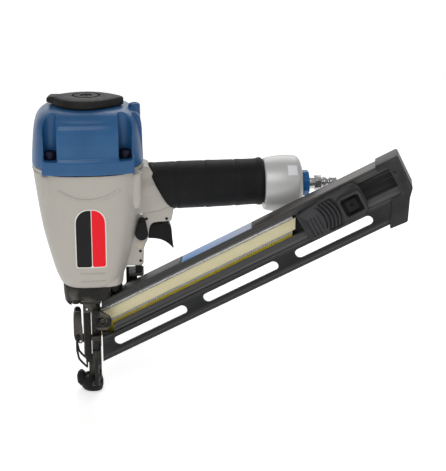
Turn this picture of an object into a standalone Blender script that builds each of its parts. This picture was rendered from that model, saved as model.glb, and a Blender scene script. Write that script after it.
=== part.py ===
"""Pneumatic angled finish nailer, built as separate sub-parts (all sizes below in millimetres).

World frame: +Z runs up along the drive axis, +X points back along the handle, -Y is the operator's
left side, and the origin is on the floor under the middle of the tool's outline.  Parts are drawn in
the drive frame, whose Z axis is the drive axis with the nose tip at zero.  The magazine has its own
frame: local X runs back along the rail, local Z is up and square to it, local Y is across it.
"""
import math

import bmesh
import bpy
from mathutils import Matrix, Vector

MM = 0.001
GAP = 0.3                                  # running gap between neighbouring parts

DRIVE_X, DRIVE_Y = -114.3, 10.6            # the drive axis, seen from the middle of the outline

# drive line
HOUSING_TOP = 213.0
HOUSING_BOTTOM = 106.0
CAP_BOTTOM = 214.3
CAP_TOP = 265.8
DEFLECTOR_TOP = 274.0
BORE_R = 22.0
SLEEVE_R = 24.5
SQUARENESS = 2.7                           # superellipse power of the barrel and the cap
FACETS = 0.5                               # share of the nominal facet count that is kept
CUTTER_TWIST = math.radians(7.3)           # keeps cutter facets out of line with the body's
CAP_SCREW_XY = (31.5, 33.5)
NOSE_SCREWS = ((11.5, 13.5), (11.5, -13.5), (-14.5, 12.5), (-14.5, -12.5))
TIP_ROD_X, TIP_ROD_Y = 2.4, -13.2
MOUNT_X, MOUNT_Z = 21.0, 100.8             # bolt that hangs the rail from the nose flange

# handle
HANDLE_Z = 194.0
GRIP_R = 20.7
CORE_R = 17.0
GRIP_END_X = 154.0
BELL_Z = 190.5
BELL_R = 25.5
BELL_END_X = 188.0
PLUG_Z = 190.0

# trigger group
PIVOT_X, PIVOT_Z = 45.6, 160.5
VALVE_X = 63.0
WEB_HALF = 13.0
SLOT_HALF = 7.0

# magazine
MAG_Z = 83.0
MAG_TILT = 28.5
MAG_SKEW = 12.0
MAG_HALF = 12.0
MAG_DEPTH = 50.5
MAG_FRONT, MAG_REAR = 0.0, 295.0
MAG_SLOT_PITCH = 91.9
MAG_SLOT_LENGTH = 74.5
MAG_SLOT_HEIGHT = 8.8
MAG_SLOT_V = 39.0
STRIP_FRONT, STRIP_REAR = -2.0, 202.0
NAIL_HEAD_V = 8.5
NAIL_TIP_V = 30.4
NAIL_LEAN = math.tan(math.radians(MAG_TILT))

for old in list(bpy.data.objects):
    bpy.data.objects.remove(old, do_unlink=True)

gun = bpy.data.collections.new("pneumatic_nail_gun")
cutters = bpy.data.collections.new("cutters")
for group in (gun, cutters):
    bpy.context.scene.collection.children.link(group)


def material(name, colour, roughness, metallic=0.0):
    mat = bpy.data.materials.new(name)
    mat.use_nodes = True
    shader = mat.node_tree.nodes["Principled BSDF"]
    shader.inputs["Base Color"].default_value = (*colour, 1.0)
    shader.inputs["Roughness"].default_value = roughness
    shader.inputs["Metallic"].default_value = metallic
    mat.diffuse_color = (*colour, 1.0)
    return mat


GREY = material("cast_grey", (0.47, 0.46, 0.43), 0.38, 0.35)
BELL = material("bell_grey", (0.38, 0.38, 0.37), 0.34, 0.55)
BLUE = material("enamel_blue", (0.030, 0.115, 0.27), 0.3)
BLACK = material("moulded_black", (0.018, 0.018, 0.019), 0.5)
RUBBER = material("grip_rubber", (0.014, 0.014, 0.015), 0.75)
RAIL = material("anodised_black", (0.050, 0.052, 0.055), 0.42, 0.4)
PHOSPHATE = material("phosphated_steel", (0.035, 0.034, 0.033), 0.5, 0.6)
STEEL = material("bright_steel", (0.60, 0.60, 0.60), 0.25, 1.0)
ALLOY = material("machined_alloy", (0.70, 0.70, 0.71), 0.35, 1.0)
BRASS = material("brass", (0.62, 0.44, 0.14), 0.3, 1.0)
NAIL = material("nail_wire", (0.66, 0.65, 0.60), 0.35, 0.8)
PAPER = material("tan_paper", (0.55, 0.46, 0.28), 0.8)
PLUG_BLUE = material("plug_blue", (0.004, 0.09, 0.31), 0.35)
AMBER = material("amber_urethane", (0.55, 0.28, 0.05), 0.45)


# ------------------------------------------------------------------ shape helpers
def put(name, mesh, mat, tool=False):
    """Wrap a mesh in an object and file it as a part or as a cutting body."""
    obj = bpy.data.objects.new(name, mesh)
    (cutters if tool else gun).objects.link(obj)
    if tool:
        obj.hide_render = True
        obj.display_type = "WIRE"
    elif mat:
        mesh.materials.append(mat)
    return obj


def mesh_from(name, bm):
    bmesh.ops.scale(bm, vec=(MM, MM, MM), verts=bm.verts)
    bmesh.ops.recalc_face_normals(bm, faces=bm.faces)
    mesh = bpy.data.meshes.new(name)
    bm.to_mesh(mesh)
    bm.free()
    return mesh


def box(name, x, y, z, mat=None, tool=False):
    """Box between three (low, high) pairs."""
    bm = bmesh.new()
    bmesh.ops.create_cube(bm, size=1.0)
    span = [b - a for a, b in (x, y, z)]
    middle = [(a + b) / 2 for a, b in (x, y, z)]
    bmesh.ops.scale(bm, vec=span, verts=bm.verts)
    bmesh.ops.translate(bm, vec=middle, verts=bm.verts)
    return put(name, mesh_from(name, bm), mat, tool)


AXIS_TURN = {
    "Z": Matrix.Identity(3),
    "X": Matrix.Rotation(math.radians(90), 3, "Y"),
    "Y": Matrix.Rotation(math.radians(-90), 3, "X"),
}


def turned(name, profile, mat=None, at=(0, 0, 0), axis="Z", steps=40, tool=False):
    """Solid of revolution; profile is (radius, height) from the top down the outside."""
    mesh = bpy.data.meshes.new(name)
    closed = all(r > 0 for r, _ in profile)
    verts = [(r * MM, 0, h * MM) for r, h in profile]
    edges = [(i, i + 1) for i in range(len(verts) - 1)]
    if closed:
        edges.append((len(verts) - 1, 0))
    mesh.from_pydata(verts, edges, [])
    obj = put(name, mesh, mat, tool)
    screw = obj.modifiers.new("turn", "SCREW")
    screw.axis = "Z"
    screw.angle = math.tau
    screw.steps = screw.render_steps = max(8, round(steps * FACETS))
    screw.use_merge_vertices = True
    screw.merge_threshold = 0.00001
    screw.use_smooth_shade = True
    obj.location = Vector(at) * MM
    twist = Matrix.Rotation(CUTTER_TWIST if tool else 0.0, 3, "Z")
    obj.rotation_euler = (AXIS_TURN[axis] @ twist).to_euler()
    return obj


def ring(name, r_in, r_out, low, high, mat=None, at=(0, 0, 0), axis="Z", steps=32, tool=False):
    profile = [(r_in, high), (r_out, high), (r_out, low), (r_in, low)]
    return turned(name, profile, mat, at, axis, steps, tool)


def rod(name, radius, low, high, mat=None, at=(0, 0, 0), axis="Z", steps=24, tool=False):
    profile = [(0, high), (radius, high), (radius, low), (0, low)]
    return turned(name, profile, mat, at, axis, steps, tool)


OUTLINE_PLANE = {
    "XY": Matrix.Identity(4),
    "XZ": Matrix(((1, 0, 0, 0), (0, 0, 1, 0), (0, 1, 0, 0), (0, 0, 0, 1))),
    "YZ": Matrix(((0, 0, 1, 0), (1, 0, 0, 0), (0, 1, 0, 0), (0, 0, 0, 1))),
}


def curve_mesh(name, curve):
    """Evaluate a curve to a welded, outward-facing mesh and drop the curve."""
    temp = bpy.data.objects.new(name + "_path", curve)
    mesh = bpy.data.meshes.new_from_object(temp)
    bpy.data.objects.remove(temp)
    bpy.data.curves.remove(curve)
    mesh.name = name
    return mesh


def weld(mesh):
    bm = bmesh.new()
    bm.from_mesh(mesh)
    bmesh.ops.remove_doubles(bm, verts=bm.verts, dist=1e-7)
    bmesh.ops.recalc_face_normals(bm, faces=bm.faces)
    bm.to_mesh(mesh)
    bm.free()
    return mesh


def prism(name, outline, low, high, mat=None, plane="XZ", tool=False):
    """Flat outline given thickness: XZ outlines run along Y, YZ along X, XY along Z."""
    curve = bpy.data.curves.new(name + "_outline", "CURVE")
    curve.dimensions = "2D"
    curve.fill_mode = "BOTH"
    curve.extrude = (high - low) / 2 * MM
    spline = curve.splines.new("POLY")
    spline.points.add(len(outline) - 1)
    spline.use_cyclic_u = True
    for slot, (a, b) in zip(spline.points, outline):
        slot.co = (a * MM, b * MM, 0, 1)
    mesh = curve_mesh(name, curve)
    mesh.transform(OUTLINE_PLANE[plane] @ Matrix.Translation((0, 0, (high + low) / 2 * MM)))
    return put(name, weld(mesh), mat, tool)


def loft(name, sections, mat=None, power=SQUARENESS, points=44, tool=False):
    """Stack of superellipse rings (height, half x, half y, centre x), capped both ends."""
    bm = bmesh.new()
    rings = []
    for height, half_x, half_y, centre_x in sections:
        loop = []
        for i in range(points):
            angle = math.tau * i / points
            c, s = math.cos(angle), math.sin(angle)
            x = math.copysign(abs(c) ** (2 / power), c) * half_x + centre_x
            y = math.copysign(abs(s) ** (2 / power), s) * half_y
            loop.append(bm.verts.new((x, y, height)))
        rings.append(loop)
    for lower, upper in zip(rings, rings[1:]):
        for i in range(points):
            j = (i + 1) % points
            bm.faces.new((lower[i], lower[j], upper[j], upper[i]))
    bm.faces.new(rings[0])
    bm.faces.new(rings[-1])
    return put(name, mesh_from(name, bm), mat, tool)


def arc(cx, cz, radius, start, stop, count):
    """Points along an arc, angles in degrees."""
    pts = []
    for i in range(count + 1):
        angle = math.radians(start + (stop - start) * i / count)
        pts.append((cx + radius * math.cos(angle), cz + radius * math.sin(angle)))
    return pts


def wire(name, points, radius, mat=None, smooth=2, tool=False):
    """Round wire along a polyline, ends capped, as a mesh."""
    curve = bpy.data.curves.new(name + "_path", "CURVE")
    curve.dimensions = "3D"
    spline = curve.splines.new("POLY")
    spline.points.add(len(points) - 1)
    for slot, point in zip(spline.points, points):
        slot.co = (*(c * MM for c in point), 1.0)
    curve.bevel_depth = radius * MM
    curve.bevel_resolution = smooth
    curve.use_fill_caps = True
    return put(name, weld(curve_mesh(name, curve)), mat, tool)


def coil(name, radius, wire_r, low, high, turns, mat, at=(0, 0), per_turn=10):
    count = int(turns * per_turn)
    pts = []
    for i in range(count + 1):
        angle = math.tau * i / per_turn
        height = low + wire_r + (high - low - 2 * wire_r) * i / count
        pts.append((radius * math.cos(angle), radius * math.sin(angle), height))
    obj = wire(name, pts, wire_r, mat, smooth=1)
    obj.location = (at[0] * MM, at[1] * MM, 0)
    return obj


def combine(target, operation, *others):
    for other in others:
        mod = target.modifiers.new(operation.lower(), "BOOLEAN")
        mod.operation = operation
        mod.solver = "EXACT"
        mod.object = other
    return target


def add(target, *others):
    return combine(target, "UNION", *others)


def cut(target, *others):
    return combine(target, "DIFFERENCE", *others)


def soften(obj, width, segments=1, angle=35):
    """Bevel the sharp edges."""
    mod = obj.modifiers.new("edge_break", "BEVEL")
    mod.width = width * MM
    mod.segments = segments
    mod.limit_method = "ANGLE"
    mod.angle_limit = math.radians(angle)
    mod.harden_normals = False
    return obj


def hexagon(across_flats, sides=6, turn=0.0):
    radius = across_flats / 2 / math.cos(math.pi / sides)
    return [(radius * math.cos(math.tau * (i + 0.5) / sides + turn),
             radius * math.sin(math.tau * (i + 0.5) / sides + turn)) for i in range(sides)]


# ------------------------------------------------------------------ frames
drive_frame = bpy.data.objects.new("drive_frame", None)
drive_frame.location = (DRIVE_X * MM, DRIVE_Y * MM, 0)
magazine = bpy.data.objects.new("magazine_frame", None)
for empty in (drive_frame, magazine):
    gun.objects.link(empty)
magazine.location = (0, 0, MAG_Z * MM)
magazine.rotation_euler = (0, -math.radians(MAG_TILT), -math.radians(MAG_SKEW))


def on_rail(*objects):
    """Seat parts in the magazine frame."""
    for obj in objects:
        obj.parent = magazine
    return objects[0]


# ------------------------------------------------------------------ housing
barrel_sections = [
    (106.0, 23.5, 23.5, 0), (108.5, 26.4, 26.4, 0), (118.0, 30.6, 30.6, 0),
    (135.0, 35.3, 35.3, 0), (160.0, 41.0, 41.0, 0), (191.0, 45.8, 45.8, 0),
    (213.0, 48.5, 48.5, 0),
]
housing = loft("housing", barrel_sections, GREY, points=32)
web_outline = (
    [(22, 212), (52, 212), (56, 207), (74.5, 176), (75, 172), (73.2, 163), (72, 161.8), (60, 161.3)]
    + [(56, 160.8), (53.4, 158.8), (52.2, 155), (51.5, 149), (50.6, 145), (48.4, 141), (47.2, 137)]
    + [(46.6, 122), (45, 121), (20, 121), (20, 160)]
)
web = soften(prism("web_solid", web_outline, -WEB_HALF, WEB_HALF, tool=True), 2.0, 1, 50)
upper_web_outline = [(20, 212.5), (51.5, 212.5), (55, 208), (74, 177), (60, 174), (20, 168)]
upper_web = soften(prism("upper_web_solid", upper_web_outline, -17.5, 17.5, tool=True), 4.0, 2, 50)
core = ring("handle_core_solid", 12.9, CORE_R, 30.7, GRIP_END_X - 0.5, at=(0, 0, HANDLE_Z), axis="X",
            steps=44, tool=True)
front_panel = loft("front_panel_solid", [
    (196.0, 21.0, 46.2, 0), (204.0, 25.0, 48.6, 0), (212.9, 27.0, 49.4, 0)], power=6.0, points=28,
    tool=True)
add(housing, upper_web, core, web, front_panel)

cavity = turned("air_chamber_cut", [
    (0, 220), (38.0, 220), (37.0, 175), (33.5, 160), (29.0, 140), (25.0, 126), (25.0, 118),
    (SLEEVE_R - 2.5, 118), (SLEEVE_R - 2.5, 111), (0, 111)], steps=40, tool=True)
driver_hole = rod("driver_hole_cut", 5.5, 100, 112, tool=True)
handle_bore = rod("handle_bore_cut", 12.3, 29.3, 82, at=(0, 0, HANDLE_Z), axis="X", steps=22, tool=True)
valve_bore = rod("valve_bore_cut", 6.5, 150, 190, at=(VALVE_X, 0, 0), tool=True)
trigger_slot = prism("trigger_slot_cut", [
    (38.8, 110), (58, 110), (58, 150), (85, 150), (85, 161.6), (60, 162.6), (52, 165.8), (42, 165.8),
    (38.8, 163)],
    -SLOT_HALF, SLOT_HALF, tool=True)
pivot_bore = rod("pivot_bore_cut", 2.7, -20, 20, at=(PIVOT_X, 0, PIVOT_Z), axis="Y", tool=True)
cut(housing, cavity, driver_hole, handle_bore, valve_bore, trigger_slot, pivot_bore)
for side in (-1, 1):
    for end in (-1, 1):
        x, y = end * CAP_SCREW_XY[0], side * CAP_SCREW_XY[1]
        cut(housing, rod(f"cap_thread_cut_{end}_{side}", 2.9, 196, 216, at=(x, y, 0), tool=True))
for i, (x, z) in enumerate(((67.5, 164.6), (49.8, 165.0), (43.9, 135.4), (43.9, 126.4))):
    cut(housing, rod(f"roll_pin_cut_{i}", 1.3, -15, -11.4, at=(x, 0, z), axis="Y", steps=12, tool=True))
spring_bore = rod("spring_bore_cut", 2.6, 110, 141, at=(42.5, 10, 0), steps=16, tool=True)
cut(housing, spring_bore)
for i, (x, y) in enumerate(NOSE_SCREWS):
    cut(housing, rod(f"nose_thread_cut_{i}", 2.3, 100, 110, at=(x, y, 0), steps=16, tool=True))

# rubber grip sleeve, cut on the slant where it meets the web
grip = turned("grip_sleeve", [
    (CORE_R + GAP, 154), (20.6, 154), (21.6, 151.5), (21.6, 149), (20.7, 146), (20.5, 120),
    (20.5, 90), (20.9, 75), (21.4, 50), (CORE_R + GAP, 50)],
    RUBBER, at=(0, 0, HANDLE_Z), axis="X", steps=40)
slant = prism("grip_front_cut", [(30, 225), (54.6, 225), (54.6, 214), (78.6, 171), (78.6, 160), (30, 160)],
              -30, 30, tool=True)
cut(grip, slant)

# end bell with its blue plug and the air fitting
bell = turned("end_bell", [
    (11.3, BELL_END_X), (20.0, BELL_END_X), (23.4, 186.8), (25.0, 183.5), (BELL_R, 178),
    (25.3, 170), (24.2, 160), (22.6, 154.4), (11.3, 154.4)], BELL, at=(0, 0, BELL_Z), axis="X", steps=48)
plug = turned("end_plug", [(5.2, 191.0), (10.3, 191.0), (10.3, 177.0), (5.2, 177.0)], PLUG_BLUE,
              at=(0, 0, BELL_Z), axis="X", steps=32)
octagon = prism("end_plug_octagon", hexagon(21.5, 8), BELL_END_X + GAP, 195.3, plane="YZ", tool=True)
octagon.location = (0, 0, BELL_Z * MM)
octagon_bore = rod("end_plug_bore_cut", 5.2, 170, 200, at=(0, 0, BELL_Z), axis="X", tool=True)
add(plug, soften(octagon, 0.8))
cut(plug, octagon_bore)
fitting = turned("air_plug", [
    (2.4, 221), (4.4, 221), (5.0, 220), (5.0, 215), (3.6, 213.6), (3.6, 211.2), (5.6, 210.4),
    (5.6, 208.2), (4.2, 207.4), (4.2, 206.2), (5.6, 206), (6.2, 205), (6.2, 200), (5.6, 199),
    (5.6, 195.6), (4.9, 195.6), (4.9, 180), (2.4, 180)], STEEL, at=(0, 0, BELL_Z), axis="X", steps=32)
fitting_hex = soften(prism("air_plug_hex", hexagon(12.6), 199.4, 205.4, plane="YZ", tool=True), 0.5)
fitting_hex.location = (0, 0, BELL_Z * MM)
cut(fitting_hex, rod("air_plug_hex_cut", 5.5, 190, 210, at=(0, 0, BELL_Z), axis="X", tool=True))
add(fitting, fitting_hex)

# ------------------------------------------------------------------ cylinder cap and exhaust
cap = loft("cylinder_cap", [
    (CAP_BOTTOM, 48.6, 48.6, 0), (238.0, 47.0, 47.0, 0), (249.0, 46.0, 46.0, 0),
    (257.5, 43.6, 43.6, 0), (262.8, 39.0, 39.0, 0), (CAP_TOP, 32.5, 32.5, 0)],
    BLUE, points=36)
front_face = soften(box("cap_face_solid", (-25.5, 25.5), (-50.6, 50.6), (CAP_BOTTOM, 247), tool=True), 3, 2)
rear_boss = rod("cap_boss_solid", 5.0, 240, 266.6, at=(40.8, -4.0, 0), steps=20, tool=True)
add(cap, front_face, soften(rear_boss, 1.5))
cut(cap, turned("cap_chamber_cut", [
    (0, 254.6), (26.0, 254.6), (30.0, 252), (38.0, 244), (39.0, 214), (39.0, 210), (0, 210)], tool=True))
for side in (-1, 1):
    for end in (-1, 1):
        x, y = end * CAP_SCREW_XY[0], side * CAP_SCREW_XY[1]
        tag = f"{'rear' if end > 0 else 'front'}_{'right' if side > 0 else 'left'}"
        plan = arc(x, y, 5.6, 0, -180 * side, 8)
        plan += [(plan[-1][0], y * 2), (plan[0][0], y * 2)]
        pocket = prism(f"cap_pocket_cut_{tag}", plan, 225.7, 275, plane="XY", tool=True)
        hole = rod(f"cap_hole_cut_{tag}", 2.9, 210, 230, at=(x, y, 0), steps=16, tool=True)
        cut(cap, pocket, hole)
        screw = turned(f"cap_screw_{tag}", [
            (0, 228.2), (2.0, 228.2), (2.0, 232.0), (4.2, 232.0), (4.5, 231.6), (4.5, 226.0),
            (2.6, 226.0), (2.6, 199), (0, 199)], PHOSPHATE, at=(x, y, 0), steps=20)
cut(cap, rod("cap_bore_cut", 3.1, 250, 270, steps=16, tool=True))
for i in range(4):
    angle = math.radians(45 + 90 * i)
    cut(cap, rod(f"exhaust_port_cut_{i}", 3.6, 250, 270, steps=16, tool=True,
                 at=(13.5 * math.cos(angle), 13.5 * math.sin(angle), 0)))

gasket = loft("cap_gasket", [(HOUSING_TOP + 0.2, 48.3, 48.3, 0), (CAP_BOTTOM - 0.2, 48.3, 48.3, 0)],
              RUBBER, points=48)
cut(gasket, rod("gasket_bore_cut", 39.0, 205, 220, steps=40, tool=True))
for side in (-1, 1):
    for end in (-1, 1):
        cut(gasket, rod(f"gasket_hole_cut_{end}_{side}", 3.0, 205, 220, steps=12, tool=True,
                        at=(end * CAP_SCREW_XY[0], side * CAP_SCREW_XY[1], 0)))

eye = (arc(0, 17.7, 44.2, -139, -41, 12) + [(33.8, -10.6), (33.8, 10.6)]
       + arc(0, -17.7, 44.2, 41, 139, 12) + [(-33.8, 10.6), (-33.8, -10.6)])
deflector = soften(prism("exhaust_deflector", eye, CAP_TOP + 0.5, DEFLECTOR_TOP, BLACK, plane="XY"),
                   2.2, 2, 40)
cut(deflector,
    rod("deflector_chamber_cut", 20.0, 250, 269.5, steps=32, tool=True),
    box("deflector_outlet_cut", (-45, 0), (-8, 8), (250, 269.5), tool=True),
    ring("deflector_ring_cut", 9.0, 11.5, 273.0, 280, steps=32, tool=True),
    rod("deflector_well_cut", 6.2, 271.6, 280, steps=24, tool=True),
    rod("deflector_bore_cut", 3.2, 260, 280, steps=16, tool=True))
turned("deflector_screw", [(0, 271.5), (1.8, 271.5), (1.8, 273.4), (4.4, 273.4), (5.2, 272.8), (5.2, 271.9),
                           (2.8, 271.9), (2.8, 256), (0, 256)], PHOSPHATE, steps=20)

# ------------------------------------------------------------------ inside the barrel
turned("cylinder_sleeve", [
    (BORE_R, 212.0), (SLEEVE_R + 2, 212.0), (SLEEVE_R + 2, 206), (SLEEVE_R, 205), (SLEEVE_R, 186),
    (36.6, 186), (36.6, 182), (SLEEVE_R, 182), (SLEEVE_R, 118.3), (BORE_R, 118.3)], ALLOY, steps=40)
turned("bumper", [(6.0, 124), (19.0, 124), (21.6, 120), (21.6, 111.3), (6.0, 111.3)], AMBER, steps=32)
piston = turned("piston_driver", [
    (0, 212.0), (16.0, 212.0), (16.0, 210.0), (21.7, 210.0), (21.7, 208.0), (19.3, 208.0),
    (19.3, 204.6), (21.7, 204.6), (21.7, 201), (8.0, 200), (0, 200)], ALLOY, steps=40)
add(piston, box("driver_blade_solid", (-1.2, 1.2), (-2.4, 2.4), (76, 206), tool=True))
ring_pts = arc(20.5, 206.3, 1.1, 0, 315, 7)
turned("piston_o_ring", ring_pts[::-1], RUBBER, steps=40)
turned("head_valve", [
    (9.0, 226), (9.0, 236), (18.0, 236), (18.0, 234), (26.0, 234), (26.0, 218), (34.0, 216),
    (34.0, 213.0), (21.0, 213.0), (19.0, 216), (13.0, 216), (13.0, 226)], BLACK, steps=40)
coil("head_valve_spring", 21.5, 0.9, 234.3, 254.3, 4, STEEL)

# ------------------------------------------------------------------ trigger group
trigger_outline = (
    arc(PIVOT_X, PIVOT_Z, 4.0, 230, 60, 7)
    + [(53.5, 158.3), (68.4, 158.3), (71.2, 156.6), (72.4, 153), (72.9, 144), (73.9, 135.4), (72.4, 135.6),
       (70.0, 138.6), (67.0, 141.3), (63.0, 143.4), (58.0, 144.7), (51.6, 144.9), (51.3, 150.6),
       (47.0, 153.4)])
trigger = soften(prism("trigger", trigger_outline, -6.6, 6.6, BLACK), 0.8, 1, 50)
cut(trigger,
    prism("trigger_pocket_cut", [(50.5, 151.4), (70.0, 148.6), (70.0, 165), (50.5, 165)], -4.2, 4.2,
          tool=True),
    rod("trigger_bore_cut", 2.7, -20, 20, at=(PIVOT_X, 0, PIVOT_Z), axis="Y", tool=True),
    prism("trigger_nose_cut", [(38, 140), (50.8, 140), (50.8, 170), (38, 170)], -4.2, 4.2, tool=True))
selector = rod("selector_lever", 2.3, -16.0, 16.0, PHOSPHATE, at=(PIVOT_X, 0, PIVOT_Z), axis="Y", steps=20)
pear = arc(PIVOT_X, 163.9, 3.1, 5, 175, 7) + arc(PIVOT_X - 0.4, 151.9, 5.8, 165, 378, 12)
add(selector, soften(prism("selector_pear_solid", pear, -17.0, -13.4, tool=True), 0.7, 1, 50))
add(selector, rod("selector_head_solid", 4.2, 13.4, 15.5, at=(PIVOT_X, 0, PIVOT_Z), axis="Y", steps=20,
                  tool=True))
lever = prism("trigger_lever", [
    (49.0, 153.6), (49.0, 152.0), (66, 150.8), (69.3, 150.6), (69.9, 152.4), (69.0, 154.2), (66, 154.2),
    (63, 153.6)], -3.8, 3.8, PHOSPHATE)
turned("valve_body", [
    (2.5, 182.0), (6.2, 182.0), (6.2, 176), (5.0, 175), (5.0, 171), (6.2, 170), (6.2, 163.0),
    (2.5, 163.0)], BRASS, at=(VALVE_X, 0, 0), steps=24)
turned("valve_stem", [(0, 187), (3.6, 187), (4.2, 186), (4.2, 182.6), (2.1, 182.6), (2.1, 156.6),
                      (1.4, 155.0), (0, 155.0)], STEEL, at=(VALVE_X, 0, 0), steps=20)

# ------------------------------------------------------------------ nose
nose = loft("nose_body", [
    (87.5, 19.5, 19.5, -2.5), (90.0, 21.5, 20.5, -2.5), (98.0, 22.5, 21.0, -2.5), (105.7, 23.2, 21.5, -2)],
    PHOSPHATE, power=3.2, points=28)
column = soften(box("nose_column_solid", (-1.2, 7.0), (-9.5, 9.5), (26, 92), tool=True), 1.0)
nozzle = turned("nose_nozzle_solid", [(0, 32.5), (4.6, 32.5), (4.6, 9), (3.9, 7.4), (0, 7.4)], steps=26,
                tool=True)
rib = soften(box("nose_rib_solid", (1.2, 4.6), (-10.8, -8), (58, 86), tool=True), 0.8)
lug = soften(box("nose_stop_solid", (-1.6, 6.4), (-16.9, -8), (53, 57), tool=True), 0.8)
hook = box("nose_hook_solid", (-7.2, -3.3), (-3.0, 3.0), (27.2, 31.0), tool=True)
ear = prism("nose_ear_solid", [(6, 90), (16, 90), (27.5, 97), (27.5, 103.5), (25, 105.7), (6, 105.7)],
            -9, 9, tool=True)
add(nose, column, nozzle, rib, lug, ear)
for side in (-1, 1):
    near, far = sorted((side * 9.4, side * 11.6))
    add(nose, box(f"nose_hinge_solid_{side}", (-8.2, 3.0), (near, far), (78.5, 89), tool=True))
cut(nose,
    rod("guide_throat_cut", 5.5, 96, 110, tool=True),
    box("nail_channel_cut", (-3.0, 1.7), (-2.8, 2.8), (34, 100), tool=True),
    rod("nozzle_bore_cut", 3.0, 5, 40, steps=18, tool=True),
    box("feed_slot_cut", (0, 12), (-4.2, 3.6), (36, 80), tool=True),
    rod("nose_hinge_cut", 1.5, -20, 20, at=(-5.0, 0, 82), axis="Y", steps=16, tool=True),
    box("nose_window_cut_a", (-17, -10), (-30, 30), (90.5, 93.5), tool=True),
    box("nose_window_cut_b", (-30, 30), (-30, -14), (86, 92), tool=True),
    rod("bracket_thread_cut", 2.1, -13, -6, at=(3.0, 0, 79), axis="Y", steps=16, tool=True),
    rod("mount_head_cut", 4.4, -30, -9.2, at=(MOUNT_X, 0, MOUNT_Z), axis="Y", steps=24, tool=True),
    rod("stop_bore_cut", 2.3, 50, 60, at=(TIP_ROD_X, TIP_ROD_Y, 0), steps=20, tool=True),
    prism("rail_clearance_cut", [(8.0, 20), (8.0, 89.7), (40, 107.5), (40, 20)], -30, 30, tool=True),
    box("fork_cut", (16.4, 34), (-3.2, 3.2), (86, 105.2), tool=True),
    rod("mount_bore_cut", 2.3, -12, 12, at=(MOUNT_X, 0, MOUNT_Z), axis="Y", steps=16, tool=True))
add(nose, hook)
for i, (x, y) in enumerate(NOSE_SCREWS):
    seat = 98.0 if x > 0 else 93.0
    cut(nose, rod(f"nose_hole_cut_{i}", 2.3, 80, 110, at=(x, y, 0), steps=16, tool=True),
        rod(f"nose_recess_cut_{i}", 4.3, 70, seat, at=(x, y, 0), steps=16, tool=True))
    turned(f"nose_screw_{i + 1}", [
        (0, 109.5), (2.0, 109.5), (2.0, seat - GAP), (3.9, seat - GAP), (3.9, seat - 4.6),
        (1.7, seat - 4.6), (1.7, seat - 2), (0, seat - 2)], PHOSPHATE, at=(x, y, 0), steps=16)

cover = soften(box("nose_cover", (-8.5, -1.6), (-9.0, 9.0), (33.5, 85.5), PHOSPHATE), 0.9)
cover_ear = box("cover_ear_solid", (-14.0, -8), (-4.4, 4.4), (47.6, 52.6), tool=True)
add(cover, cover_ear)
cut(cover,
    box("cover_channel_cut", (-2.8, 0), (-2.8, 2.8), (30, 90), tool=True),
    box("cover_heel_cut", (-3.3, 0), (-12, 12), (82.8, 90), tool=True),
    rod("latch_bore_cut", 1.7, -12, 12, at=(-11.5, 0, 50), axis="Y", steps=16, tool=True),
    rod("hinge_bore_cut", 1.5, -12, 12, at=(-5.0, 0, 82), axis="Y", steps=16, tool=True))
rod("cover_hinge_pin", 1.2, -12.2, 12.2, STEEL, at=(-5.0, 0, 82), axis="Y", steps=16)
rod("latch_pin", 1.4, -8.2, 8.2, STEEL, at=(-11.5, 0, 50), axis="Y", steps=16)
latch = prism("latch_lever", [
    (-9.4, 49), (-10.4, 47.6), (-12.6, 47.6), (-16.4, 51.0), (-17.4, 56), (-17.4, 71), (-16.4, 76.6),
    (-14.2, 78.2), (-11.4, 77.6), (-10.2, 75), (-10.0, 62), (-9.4, 55)], -7.6, 7.6, PHOSPHATE)
cut(latch,
    box("latch_inside_cut", (-15.2, 0), (-4.8, 4.8), (40, 90), tool=True),
    box("latch_foot_cut", (-20, 0), (-4.8, 4.8), (40, 53.5), tool=True),
    rod("latch_lever_bore_cut", 1.7, -12, 12, at=(-11.5, 0, 50), axis="Y", steps=16, tool=True),
    rod("latch_wire_bore_cut", 1.4, -12, 12, at=(-13.3, 0, 55.3), axis="Y", steps=16, tool=True))
bail = [(-13.3, -5.6, 55.3), (-13.3, -9.3, 55.3), (-14.8, -9.8, 50), (-14.9, -9.8, 42), (-13.4, -9.8, 34),
        (-10.6, -9.8, 30.2), (-6.2, -9.8, 25.5)]
bail += [(x, -y, z) for x, y, z in reversed(bail)]
wire("latch_wire", bail, 1.05, STEEL, smooth=2)

# hooked bracket that ties the rail to the nose, with its bolt and nut
arm = ([(0.2, 81.5), (0.8, 76.6)] + arc(8.6, 70.6, 8.4, 190, 395, 16) + arc(3.0, 79.2, 3.4, 60, 170, 5))
bracket = soften(prism("rail_bracket", arm, -17.3, -14.6, PHOSPHATE), 0.5)
bracket.location = (0, 0.0018, 0)
cut(bracket,
    rod("bracket_hole_cut", 2.1, -30, 0, at=(3.0, 0, 79), axis="Y", steps=16, tool=True),
    rod("bracket_eye_cut", 4.6, -30, 0, at=(8.6, 0, 70.6), axis="Y", steps=20, tool=True))
turned("bracket_bolt", [(0, -6.5), (1.8, -6.5), (1.8, -15.8), (3.4, -15.8), (3.4, -17.8), (2.8, -18.6),
                        (0, -18.6)], STEEL, at=(3.0, 0, 79), axis="Y", steps=16)
eye_nut = prism("eye_nut", [(8.6 + x, 70.6 + z) for x, z in hexagon(7.0)], -18.0, -14.0, BRASS)
cut(eye_nut, rod("eye_nut_cut", 1.6, -30, 0, at=(8.6, 0, 70.6), axis="Y", steps=14, tool=True))

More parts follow.
